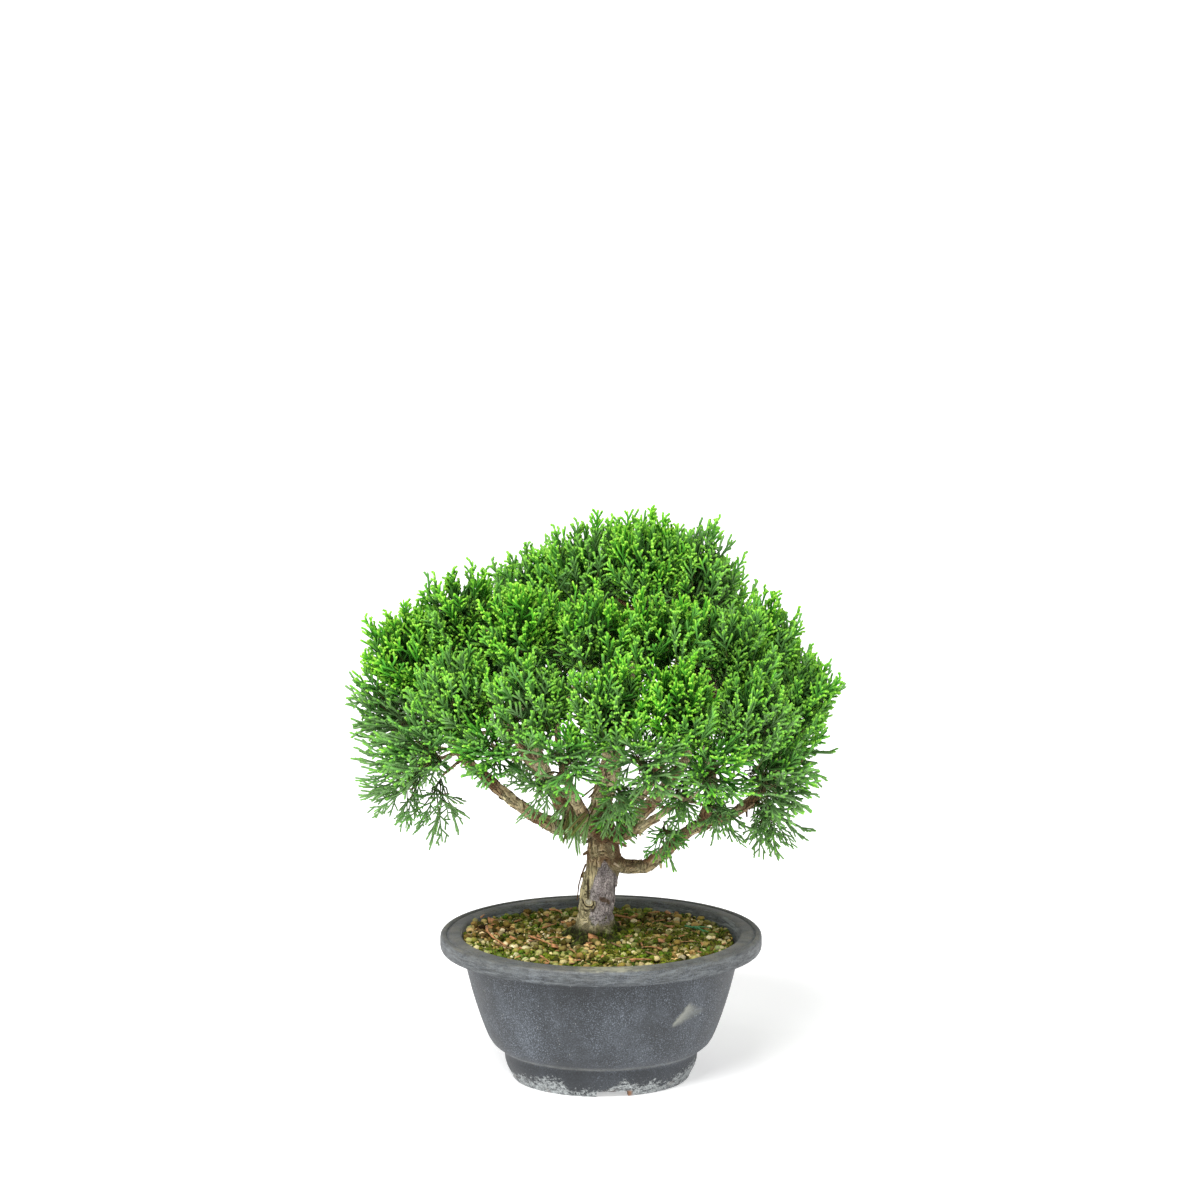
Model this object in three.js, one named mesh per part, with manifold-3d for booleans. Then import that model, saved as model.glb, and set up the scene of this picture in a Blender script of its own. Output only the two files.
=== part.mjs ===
// A small juniper tree in its round pot. Millimetres, +Z up, with the tree's front towards -Y.
// The origin is on the ground, on the pot's own axis.
import * as THREE from "three";
import { mergeVertices } from "three/addons/utils/BufferGeometryUtils.js";
import Module from "manifold-3d";

// Clearance
const SEAT = 0.3; // between two pieces that touch
const MERGE_DISTANCE = 1e-4;
const NEAR_ZERO = 1e-6;

// Pot
const POT_SIDES = 32;
const FOOT_RADIUS = 44.4; // at the bottom, from where the foot widens to its step
const STEP_RADIUS = 48.2;
const STEP_HEIGHT = 14.8;
const FOOT_INNER_RADIUS = 38;
const WALL_TOP_RADIUS = 69.5;
const LIP_RADIUS = 80.5;
const LIP_UNDERSIDE = 65;
const POT_HEIGHT = 73.8;
const FLOOR_TOP = 9;
const FLOOR_UNDERSIDE = 3.6;
const DRAIN_RADIUS = 7;
const NOTCH_COUNT = 3;
const NOTCH_WIDTH = 16;
const NOTCH_HEIGHT = 3;
const NOTCH_DEPTH = 14;
const NOTCH_DISTANCE = 42; // from the pot's axis to the middle of a notch
const FRONT_NOTCH_ANGLE = -82.5; // degrees from +X

// Net over the drain hole
const NET_WIDTH = 28;
const NET_THICKNESS = 1.2;
const NET_RIM = 2;
const NET_HOLES = 3;
const NET_HOLE_WIDTH = 5;

// Soil
const SOIL_EDGE_RADIUS = 66.3;
const SOIL_EDGE_HEIGHT = 68.7;
const SOIL_CENTRE_HEIGHT = 71;
const SOIL_RINGS = [58, 49, 40, 31, 21];
const SOIL_GRAIN = 1.5; // height of the relief that the grains make
const SOIL_SHIFT = 2; // how far apart the same draws may move a point sideways
const SOIL_SEED = 11;

// Wood
const TRUNK_SIDES = 8;
const TRUNK_RINGS = 9;
const LIMB_SIDES = 5;
const TWIG_SIDES = 3;
const ROOT_RINGS = 3;
const KNOT_SIZE = 0.07; // how much a knot thickens a limb
const KNOT_RATE = 23;
const POINT_CLEARANCE = 4; // how much more room a pointed end takes than a side
const BRANCH_STEPS = 30; // places along a limb, of which branches leave the upper ones
const FIRST_BRANCH_STEP = 6;
const BRANCH_RISE = 8; // how far below its tuft a branch likes to start
const UPHILL_COST = 0.8;
const BRANCH_BOW = 0.12;
const SHORT_BRANCH = 26; // a branch shorter than this is straight
const TWIG_BASE_RADIUS = 1.9;
const TWIG_TAPER = 0.5;
const TWIG_PAST_CENTRE = 1; // how far a branch's tip lies past the middle of its tuft

// Foliage
const STEM_RADIUS = 1.1;
const STEM_FOOT = 0.8; // where a stem starts, against the radius of the core
const STEM_BOW = 0.4;
const STEM_WANDER = 3;
const BARE_STEM = 0.28; // the part of a stem below its first whorl
const LAST_WHORL = 0.48; // where a stem with no whorls of its own would end them
const WHORL_SPACING = 0.1;
const SHOOT_REACH = 11;
const SHOOT_OUTWARD = 0.72;
const SHOOT_FORWARD = 0.7;
const LEAST_SHOOT = 0.3; // a shoot with less room than this share of its reach is left out
const SHOOT_SPREAD = [0.8, 1.2];
const CORE_SPREAD = [0.82, 1.18];
const TIP_SPREAD = [0.92, 1.06];
const BLUNT_SPREAD = [1.3, 1.8]; // height of the short shoots, against the radius of the core
const INNER_SIDE = -0.55; // faces of a core turned further than this from its growth stay plain
const NO_ROOM = -2; // the rank of a face that has no room for a spray
const NEIGHBOUR_RANGE = 20; // tufts further apart than this don't share a wall
const TUFT_SEED = 100;
const CROWN_HEART = new THREE.Vector3(0, 0, 150); // shoots grow away from here

// The trunk's middle line as [x, y, z, radius], from the root stock to the fork.
const TRUNK = [
  [-5, 0, 34, 5],
  [-4.5, 0, 52, 8.5],
  [-4, 0, 64, 12],
  [-3.4, 0, 71, 12.2],
  [-3, 0, 76, 10],
  [-2.7, 0, 83, 8.8],
  [-1.5, 0, 95, 9.1],
  [0.6, 0, 107, 8.7],
  [1.6, 0, 116, 8.4],
  [0.8, 1, 124, 7.4],
];

// Roots, each from the trunk's base down into the soil.
const ROOTS = [
  { radii: [5, 2], points: [[1, -6, 76], [7, -13, 70], [13, -20, 66], [20, -28, 56]] },
  { radii: [4.4, 1.8], points: [[-6, -6, 75], [-11, -12, 70], [-18, -19, 65], [-26, -24, 54]] },
  { radii: [4.6, 2], points: [[-9, 2, 75], [-17, 4, 70], [-26, 6, 65], [-36, 8, 54]] },
  { radii: [4.6, 2], points: [[3, 4, 76], [11, 7, 70], [20, 11, 65], [30, 16, 54]] },
  { radii: [4.4, 1.8], points: [[-4, 7, 76], [-8, 14, 70], [-12, 23, 64], [-17, 32, 52]] },
  { radii: [5, 2.2], points: [[-5, 0, 44], [-14, -10, 36], [-22, -20, 30], [-27, -26, 24]] },
  { radii: [5, 2.2], points: [[-5, 0, 44], [6, 9, 36], [16, 17, 30], [22, 24, 25]] },
];

// Limbs, each from where it leaves the trunk or another limb to where its last branch begins.
const LIMBS = {
  leader: {
    radii: [7, 2.8],
    points: [[0.8, 1, 120], [-0.5, 2, 132], [3, 4, 150], [9, 3, 172], [15, 2, 198], [20, -2, 236]],
  },
  left_low: {
    radii: [4.6, 1.9],
    points: [
      [0, 0, 123], [-10, -2, 127], [-20, -5, 128], [-29, -7, 132], [-38, -10, 139],
      [-50.5, -13, 149.5], [-57, -15, 156], [-66, -16, 163.5], [-75, -16, 180], [-80, -15, 200],
    ],
  },
  left_high: {
    radii: [4.4, 2.1],
    points: [[-9, -1, 127], [-17, -4, 135], [-22, -7, 145], [-29, -11, 160], [-37, -13, 187], [-44, -8, 226]],
  },
  right_low: {
    radii: [4.4, 1.9],
    points: [
      [3, -1, 110.5], [10, -3, 108.2], [19.5, -6, 107.8], [24.5, -8, 110.2], [30, -9, 115], [39.5, -11, 125],
      [45, -12, 129], [52, -12, 131.8], [60, -11, 134], [70, -10, 139], [86, -8, 156], [93, -5, 176],
    ],
  },
  right_upright: {
    radii: [3.6, 2],
    points: [
      [50.5, -12, 131], [54, -12, 142], [55.5, -10, 155], [52, -9, 172], [50, -8, 190], [57, -5, 218],
    ],
  },
  right_inner: {
    radii: [3.8, 2],
    points: [[0, 2, 129], [10, -8, 140], [20, -18, 148], [28, -28, 162], [33, -38, 182], [34, -46, 202]],
  },
  right_short: {
    radii: [3.2, 1.8],
    points: [[3, -2, 119], [12, -12, 126], [22, -24, 134], [32, -36, 144], [42, -48, 152]],
  },
  front_left: {
    radii: [3.8, 2],
    points: [[0, -1, 123], [-8, -16, 136], [-14, -34, 152], [-20, -48, 172], [-22, -54, 196]],
  },
  back_left: {
    radii: [4.4, 2],
    points: [[0, 2, 120], [-14, 16, 132], [-30, 34, 146], [-46, 50, 166], [-54, 56, 188]],
  },
  back_right: {
    radii: [4.4, 2],
    points: [[2, 2, 116], [16, 16, 126], [34, 34, 142], [50, 48, 164], [58, 54, 188]],
  },
  back_middle: {
    radii: [3.8, 2],
    points: [[0, 2, 132], [2, 20, 146], [4, 44, 164], [2, 60, 186], [4, 62, 206]],
  },
};

// Tufts as [name, x, y, z, radius, kind], where a full tuft is dense and a loose one hangs open.
const TUFTS = [
  ["top_front", 23, -12, 264, 30, "full"],
  ["top_right", 48, -6, 258, 30, "full"],
  ["top_left", -4, -4, 259, 31, "full"],
  ["top_far_left", -31, -2, 247, 28, "full"],
  ["top_back", 22, 24, 254, 30, "full"],
  ["top_back_left", -14, 28, 243, 28, "full"],
  ["shoulder_left", -68, -12, 238, 28, "full"],
  ["shoulder_front_left", -36, -38, 236, 29, "full"],
  ["shoulder_front", -2, -46, 234, 30, "full"],
  ["shoulder_front_right", 31, -46, 234, 30, "full"],
  ["shoulder_right", 62, -33, 225, 29, "full"],
  ["shoulder_far_right", 79, -2, 223, 29, "full"],
  ["shoulder_back_right", 52, 36, 234, 29, "full"],
  ["shoulder_back_left", -46, 30, 228, 30, "full"],
  ["left_front", -95, -15, 220, 29, "full"],
  ["middle_front_far_left", -68, -48, 206, 29, "full"],
  ["middle_front_left", -32, -68, 208, 28, "full"],
  ["middle_front", 4, -76, 208, 29, "full"],
  ["middle_front_right", 38, -70, 206, 28, "full"],
  ["middle_front_far_right", 71, -52, 197, 29, "full"],
  ["right_front", 97, -20, 198, 26.5, "full"],
  ["left_back", -80, 22, 212, 29, "full"],
  ["right_back", 86, 24, 198, 29, "full"],
  ["middle_back_left", -14, 62, 218, 30, "full"],
  ["middle_back_right", 24, 62, 220, 30, "full"],
  ["middle_back_far_right", 59, 62, 202, 29, "full"],
  ["middle_back_far_left", -54, 60, 198, 29, "full"],
  ["left_edge", -99, -12, 186, 27, "full"],
  ["low_front_far_left", -86, -46, 178, 27, "full"],
  ["low_front_left", -53, -64, 183, 21, "full"],
  ["low_front_middle_left", -17, -80, 182, 26, "full"],
  ["low_front_middle", 20, -84, 180, 27, "full"],
  ["low_front_right", 54, -70, 173, 26, "full"],
  ["low_front_far_right", 82, -46, 163, 27, "full"],
  ["right_edge", 91, 6, 166, 25, "full"],
  ["low_back_left", -26, 82, 184, 28, "full"],
  ["low_back_middle", 12, 86, 186, 28, "full"],
  ["low_back_right", 46, 82, 174, 28, "full"],
  ["low_back_far_right", 78, 50, 172, 27, "full"],
  ["low_back_far_left", -60, 72, 166, 28, "full"],
  ["low_back_edge_left", -90, 42, 172, 28, "full"],
  ["hanging_left", -97, -28, 154, 24, "loose"],
  ["hanging_left_inner", -85, -34, 150, 22, "loose"],
  ["hanging_left_back", -90, 14, 158, 24, "loose"],
  ["hanging_front_left", -29, -50, 160, 18, "loose"],
  ["hanging_front", 10, -50, 155, 20, "loose"],
  ["hanging_front_right", 37, -46, 153, 20, "loose"],
  ["hanging_right", 83, -24, 139, 24, "loose"],
  ["hanging_right_inner", 60, -42, 146, 22, "loose"],
  ["hanging_right_back", 80, 24, 147, 24, "loose"],
  ["hanging_back_left", -40, 56, 156, 22, "loose"],
  ["hanging_back", 0, 66, 155, 24, "loose"],
  ["hanging_back_right", 42, 58, 150, 23, "loose"],
  ["on_trunk", 9, -18, 135, 15, "loose"],
  ["on_right_limb", 33, -21, 128, 11, "loose"],
];

// How each kind of tuft is filled: the size of its core against the tuft, its sprays and their whorls.
const KINDS = {
  full: { core: 0.34, sprays: 8, whorls: 1, rise: 0.35, lift: 0.15, least: 0.58 },
  loose: { core: 0.24, sprays: 4, whorls: 3, rise: -0.15, lift: -0.6, least: 0.45 },
};

const wasm = await Module();
wasm.setup();

function seededRandom(seed) {
  let state = seed;
  return () => {
    state = (state + 0x6d2b79f5) | 0;
    let mixed = Math.imul(state ^ (state >>> 15), 1 | state);
    mixed = (mixed + Math.imul(mixed ^ (mixed >>> 7), 61 | mixed)) ^ mixed;
    return ((mixed ^ (mixed >>> 14)) >>> 0) / 4294967296;
  };
}

function drawn(random, [least, most]) {
  return least + (most - least) * random();
}

// Joining and cutting

function bare(geometry) {
  const copy = geometry.clone();
  copy.deleteAttribute("normal");
  copy.deleteAttribute("uv");
  return mergeVertices(copy, MERGE_DISTANCE);
}

function solidOf(geometry) {
  const merged = bare(geometry);
  return new wasm.Manifold(
    new wasm.Mesh({
      numProp: 3,
      vertProperties: new Float32Array(merged.attributes.position.array),
      triVerts: new Uint32Array(merged.index.array),
    }),
  );
}

function geometryOf(solid) {
  const mesh = solid.getMesh();
  const geometry = new THREE.BufferGeometry();
  geometry.setAttribute("position", new THREE.BufferAttribute(mesh.vertProperties, 3));
  geometry.setIndex(new THREE.BufferAttribute(mesh.triVerts, 1));
  const flat = geometry.toNonIndexed();
  flat.computeVertexNormals();
  return flat;
}

// The largest body of a solid, without the scraps that a cut leaves.
function largestBody(solid) {
  return solid.decompose().reduce((best, body) => (body.volume() > best.volume() ? body : best));
}

function joined(solids) {
  return solids.reduce((whole, solid) => whole.add(solid));
}

// A closed ring turned round the Z axis from [radius, height] points.
function turned(profile) {
  const points = profile.map(([radius, height]) => new THREE.Vector2(radius, height));
  return new THREE.LatheGeometry(points, POT_SIDES).rotateX(Math.PI / 2);
}

// Pot, net and soil

// The pot's inner wall from the lip down to the floor, as [radius, height].
function innerWall() {
  return [
    [WALL_TOP_RADIUS, POT_HEIGHT - 1],
    [66.8, 66.8],
    [64, 61],
    [57.4, 38],
    [49.4, 20],
    [41, FLOOR_TOP],
  ];
}

function potProfile() {
  const foot = [
    [FOOT_INNER_RADIUS - 1, FLOOR_UNDERSIDE],
    [FOOT_INNER_RADIUS, 0],
    [FOOT_RADIUS, 0],
    [STEP_RADIUS - 0.5, 8.5],
    [STEP_RADIUS, STEP_HEIGHT],
    [STEP_RADIUS + 2.4, STEP_HEIGHT + 1],
  ];
  const wall = [
    [54.8, 18.6],
    [62.6, 39],
    [WALL_TOP_RADIUS, LIP_UNDERSIDE],
  ];
  const lip = [
    [LIP_RADIUS - 1.2, LIP_UNDERSIDE],
    [LIP_RADIUS, LIP_UNDERSIDE + 1.3],
    [LIP_RADIUS, POT_HEIGHT - 1.4],
    [LIP_RADIUS - 1.1, POT_HEIGHT],
    [WALL_TOP_RADIUS + 1, POT_HEIGHT],
  ];
  const floor = [
    [DRAIN_RADIUS, FLOOR_TOP],
    [DRAIN_RADIUS, FLOOR_UNDERSIDE],
    [FOOT_INNER_RADIUS - 1, FLOOR_UNDERSIDE],
  ];
  return [...foot, ...wall, ...lip, ...innerWall(), ...floor];
}

function notchCutter(number) {
  const angle = THREE.MathUtils.degToRad(FRONT_NOTCH_ANGLE + (number * 360) / NOTCH_COUNT);
  const box = new THREE.BoxGeometry(NOTCH_DEPTH, NOTCH_WIDTH, 2 * NOTCH_HEIGHT);
  box.rotateZ(angle);
  box.translate(NOTCH_DISTANCE * Math.cos(angle), NOTCH_DISTANCE * Math.sin(angle), 0);
  return solidOf(box);
}

function makePot() {
  let pot = solidOf(turned(potProfile()));
  for (let number = 0; number < NOTCH_COUNT; number += 1) {
    pot = pot.subtract(notchCutter(number));
  }
  return pot;
}

// A square block with its underside at the given height.
function block(centreX, centreY, width, height, underside) {
  const box = new THREE.BoxGeometry(width, width, height);
  return solidOf(box.translate(centreX, centreY, underside + height / 2));
}

function makeNet() {
  const underside = FLOOR_TOP + SEAT;
  const pitch = (NET_WIDTH - 2 * NET_RIM) / NET_HOLES;
  let net = block(0, 0, NET_WIDTH, NET_THICKNESS, underside);
  for (let row = 0; row < NET_HOLES; row += 1) {
    for (let column = 0; column < NET_HOLES; column += 1) {
      const x = (column - (NET_HOLES - 1) / 2) * pitch;
      const y = (row - (NET_HOLES - 1) / 2) * pitch;
      net = net.subtract(block(x, y, NET_HOLE_WIDTH, 3 * NET_THICKNESS, underside - NET_THICKNESS));
    }
  }
  return net;
}

// The soil's outline follows the pot's inner wall, a seat's width inside it.
function soilProfile() {
  const side = innerWall()
    .filter(([, height]) => height < SOIL_EDGE_HEIGHT - 1)
    .reverse()
    .map(([radius, height]) => [radius - SEAT, height + SEAT]);
  const edge = [SOIL_EDGE_RADIUS, SOIL_EDGE_HEIGHT];
  const top = SOIL_RINGS.map((radius) => {
    const rise = (SOIL_CENTRE_HEIGHT - SOIL_EDGE_HEIGHT) * (1 - radius / SOIL_EDGE_RADIUS);
    return [radius, SOIL_EDGE_HEIGHT + rise];
  });
  return [[0, FLOOR_TOP + SEAT], ...side, edge, ...top, [0, SOIL_CENTRE_HEIGHT]];
}

// Each point of the top inside its edge is moved by a seeded draw, so that the surface looks granular.
function roughenTop(geometry) {
  const random = seededRandom(SOIL_SEED);
  const place = geometry.attributes.position;
  for (let i = 0; i < place.count; i += 1) {
    const radius = Math.hypot(place.getX(i), place.getY(i));
    if (place.getZ(i) > SOIL_EDGE_HEIGHT - SEAT && radius < SOIL_EDGE_RADIUS - 1) {
      place.setX(i, place.getX(i) + (random() - 0.5) * SOIL_SHIFT);
      place.setY(i, place.getY(i) + (random() - 0.5) * SOIL_SHIFT);
      place.setZ(i, place.getZ(i) + (random() - 0.5) * SOIL_GRAIN);
    }
  }
  return geometry;
}

function makeSoil(woodWithClearance) {
  const netRoom = block(0, 0, NET_WIDTH + 2 * SEAT, NET_THICKNESS + 2 * SEAT, FLOOR_TOP);
  const whole = solidOf(roughenTop(bare(turned(soilProfile()))));
  return largestBody(whole.subtract(netRoom).subtract(woodWithClearance));
}

// Wood

// A closed tube along a curve. Its radius comes from radiusAt, and grow thickens it all round.
function tube(points, radiusAt, sides, rings, grow) {
  const path = new THREE.CatmullRomCurve3(points, false, "centripetal");
  const frames = path.computeFrenetFrames(rings);
  const pointed = radiusAt(1, points[points.length - 1]) === 0;
  const geometry = bare(new THREE.CylinderGeometry(pointed ? 0 : 1, 1, 1, sides, rings, false));
  const place = geometry.attributes.position;
  for (let i = 0; i < place.count; i += 1) {
    const ring = Math.round((place.getY(i) + 0.5) * rings);
    const centre = path.getPointAt(ring / rings);
    const onAxis = Math.hypot(place.getX(i), place.getZ(i)) < NEAR_ZERO;
    const angle = Math.atan2(place.getZ(i), place.getX(i));
    const radius = onAxis ? 0 : radiusAt(ring / rings, centre) + grow;
    const tipGrowth = grow * (pointed ? POINT_CLEARANCE : 1);
    const end = ring === 0 ? -grow : ring === rings ? tipGrowth : 0;
    centre.addScaledVector(frames.normals[ring], Math.cos(angle) * radius);
    centre.addScaledVector(frames.binormals[ring], -Math.sin(angle) * radius);
    centre.addScaledVector(frames.tangents[ring], end);
    place.setXYZ(i, centre.x, centre.y, centre.z);
  }
  return solidOf(geometry);
}

function vectors(points) {
  return points.map(([x, y, z]) => new THREE.Vector3(x, y, z));
}

function trunkRadius(height) {
  const above = TRUNK.findIndex(([, , z]) => z >= height);
  if (above <= 0) return above === 0 ? TRUNK[0][3] : TRUNK[TRUNK.length - 1][3];
  const [, , lowZ, lowRadius] = TRUNK[above - 1];
  const [, , highZ, highRadius] = TRUNK[above];
  return THREE.MathUtils.mapLinear(height, lowZ, highZ, lowRadius, highRadius);
}

function limbTube({ points, radii }, sides, rings, grow) {
  const knots = (u) => 1 + KNOT_SIZE * Math.sin(u * KNOT_RATE + points.length);
  const radiusAt = (u) => THREE.MathUtils.lerp(radii[0], radii[1], u) * knots(u);
  return tube(vectors(points), radiusAt, sides, rings, grow);
}

// Points along every limb, where a branch may start.
function branchStarts() {
  const starts = [];
  for (const { points } of Object.values(LIMBS)) {
    const path = new THREE.CatmullRomCurve3(vectors(points), false, "centripetal");
    for (let step = FIRST_BRANCH_STEP; step <= BRANCH_STEPS; step += 1) {
      starts.push(path.getPointAt(step / BRANCH_STEPS));
    }
  }
  return starts;
}

// A branch leaves the nearest limb, from below where it can, and ends inside its tuft.
function branchPath(tuft, starts) {
  const cost = (start) => {
    const above = Math.max(0, start.z - tuft.centre.z + BRANCH_RISE);
    return start.distanceTo(tuft.centre) + (tuft.kind === "full" ? UPHILL_COST * above : 0);
  };
  const start = starts.reduce((best, next) => (cost(next) < cost(best) ? next : best));
  const run = tuft.centre.clone().sub(start);
  const middle = start.clone().addScaledVector(run, 0.5);
  middle.z += BRANCH_BOW * run.length() * (tuft.kind === "full" ? -1 : 1);
  const end = tuft.centre.clone().addScaledVector(run.clone().normalize(), TWIG_PAST_CENTRE);
  return run.length() > SHORT_BRANCH ? [start, middle, end] : [start, end];
}

function makeWood(tufts, grow) {
  const trunk = tube(
    vectors(TRUNK),
    (u, centre) => trunkRadius(centre.z),
    TRUNK_SIDES,
    TRUNK_RINGS,
    grow,
  );
  const roots = ROOTS.map((root) => limbTube(root, LIMB_SIDES, ROOT_RINGS, grow));
  const limbs = Object.values(LIMBS).map((limb) => limbTube(limb, LIMB_SIDES, limb.points.length, grow));
  const starts = branchStarts();
  const twigRadius = (u) => TWIG_BASE_RADIUS * (u === 1 ? 0 : 1 - TWIG_TAPER * u);
  const twigs = tufts.map((tuft) => {
    const path = branchPath(tuft, starts);
    return tube(path, twigRadius, TWIG_SIDES, path.length - 1, grow);
  });
  return joined([trunk, ...roots, ...limbs, ...twigs]);
}

// Foliage

function readTuft([name, x, y, z, radius, kind]) {
  const centre = new THREE.Vector3(x, y, z);
  const growth = centre.clone().sub(CROWN_HEART).normalize();
  growth.z += KINDS[kind].lift;
  return { name: "foliage_" + name, centre, radius, kind, growth: growth.normalize(), ...KINDS[kind] };
}

// The room that a tuft may fill: on its own side of a plane between it and each neighbour.
function roomOf(tuft, tufts) {
  const walls = [];
  for (const other of tufts) {
    const across = other.centre.clone().sub(tuft.centre);
    const distance = across.length();
    if (other === tuft || distance > tuft.radius + other.radius + NEIGHBOUR_RANGE) continue;
    const share = (distance ** 2 + tuft.radius ** 2 - other.radius ** 2) / (2 * distance);
    walls.push({ normal: across.normalize(), reach: share - SEAT / 2 });
  }
  return walls;
}

// A place beside the tuft's centre, moved sideways off each wall and then in towards the centre.
function insideRoom(offset, walls, margin) {
  const moved = offset.clone();
  for (let pass = 0; pass < 4; pass += 1) {
    for (const { normal, reach } of walls) {
      const over = moved.dot(normal) - (reach - margin);
      if (over > 0) moved.addScaledVector(normal, -over);
    }
  }
  let share = 1;
  for (const { normal, reach } of walls) {
    const along = moved.dot(normal);
    if (along > reach - margin) share = Math.min(share, (reach - margin) / along);
  }
  return moved.multiplyScalar(share);
}

// The wedge over one face of the core, which what grows on that face stays in.
function wedgeOver(corners) {
  const axis = corners[0].clone().add(corners[1]).add(corners[2]).normalize();
  const sides = corners.map((corner, i) => corner.clone().cross(corners[(i + 1) % 3]).normalize());
  return { axis, sides };
}

// A place moved towards the middle of its wedge until it is a margin clear of the wedge's sides.
function insideWedge(offset, { axis, sides }, margin) {
  const centreLine = axis.clone().multiplyScalar(Math.max(offset.dot(axis), 0));
  let share = 0;
  for (const side of sides) {
    const clear = offset.dot(side);
    const clearAtCentre = centreLine.dot(side);
    if (clear < margin && clearAtCentre > clear) {
      share = Math.max(share, Math.min(1, (margin - clear) / (clearAtCentre - clear)));
    }
  }
  return offset.clone().lerp(centreLine, share);
}

function kept(offset, tuft, wedge, margin) {
  return insideRoom(insideWedge(offset, wedge, margin), tuft.walls, margin);
}

// A spray on one face of the core: a three-sided stem with whorls of three shoots, and a tip.
function addSpray(build, tuft, face, wedge, tip, random) {
  const foot = wedge.axis.clone().multiplyScalar(STEM_FOOT * tuft.core * tuft.radius);
  const axis = tip.clone().sub(foot);
  const length = axis.length();
  axis.normalize();
  const side = new THREE.Vector3(random() - 0.5, random() - 0.5, random() - 0.5).cross(axis).normalize();
  const other = axis.clone().cross(side);
  const bend = new THREE.Vector3(0, 0, tuft.rise * length * STEM_BOW);
  bend.addScaledVector(side, (random() - 0.5) * STEM_WANDER);
  const stemAt = (u) => foot.clone().lerp(tip, u).addScaledVector(bend, u * u - u);
  const lastShare = LAST_WHORL + WHORL_SPACING * tuft.whorls;
  const share = (level) => THREE.MathUtils.lerp(BARE_STEM, lastShare, level / tuft.whorls);
  const firstCorner = build.vertices[face[0]];
  const twist = Math.atan2(firstCorner.dot(other), firstCorner.dot(side));
  const turn = (level) => twist + (level * Math.PI) / 6;

  let lower = face;
  for (let level = 0; level <= tuft.whorls; level += 1) {
    const centre = kept(stemAt(share(level)), tuft, wedge, STEM_RADIUS + SEAT / 2);
    const upper = [0, 1, 2].map((corner) => {
      const angle = turn(level) + (corner * 2 * Math.PI) / 3;
      const vertex = centre.clone().addScaledVector(side, STEM_RADIUS * Math.cos(angle));
      return build.vertices.push(vertex.addScaledVector(other, STEM_RADIUS * Math.sin(angle))) - 1;
    });
    for (let corner = 0; corner < 3; corner += 1) {
      const next = (corner + 1) % 3;
      const quad = [lower[corner], lower[next], upper[next], upper[corner]];
      if (level === 0) {
        build.faces.push([quad[0], quad[1], quad[2]], [quad[0], quad[2], quad[3]]);
        continue;
      }
      const angle = turn(level - 0.5) + ((corner + 0.5) * 2 * Math.PI) / 3;
      const outward = side.clone().multiplyScalar(Math.cos(angle)).addScaledVector(other, Math.sin(angle));
      addShoot(build, tuft, wedge, quad, outward, axis, SHOOT_REACH * drawn(random, SHOOT_SPREAD));
    }
    lower = upper;
  }
  const top = build.vertices.push(kept(tip, tuft, wedge, SEAT / 2)) - 1;
  for (let corner = 0; corner < 3; corner += 1) {
    build.faces.push([lower[corner], lower[(corner + 1) % 3], top]);
  }
}

// A side shoot raised on one side of the stem, or a plain side where there is no room for it.
function addShoot(build, tuft, wedge, quad, outward, along, reach) {
  const middle = new THREE.Vector3();
  for (const corner of quad) middle.addScaledVector(build.vertices[corner], 0.25);
  const wanted = middle.clone().addScaledVector(outward, SHOOT_OUTWARD * reach);
  const tip = kept(wanted.addScaledVector(along, SHOOT_FORWARD * reach), tuft, wedge, SEAT / 2);
  const [a, b, c, d] = quad;
  if (tip.clone().sub(middle).dot(outward) < LEAST_SHOOT * reach) {
    build.faces.push([a, b, c], [a, c, d]);
    return;
  }
  const apex = build.vertices.push(tip) - 1;
  build.faces.push([a, b, apex], [b, c, apex], [c, d, apex], [d, a, apex]);
}

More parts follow.
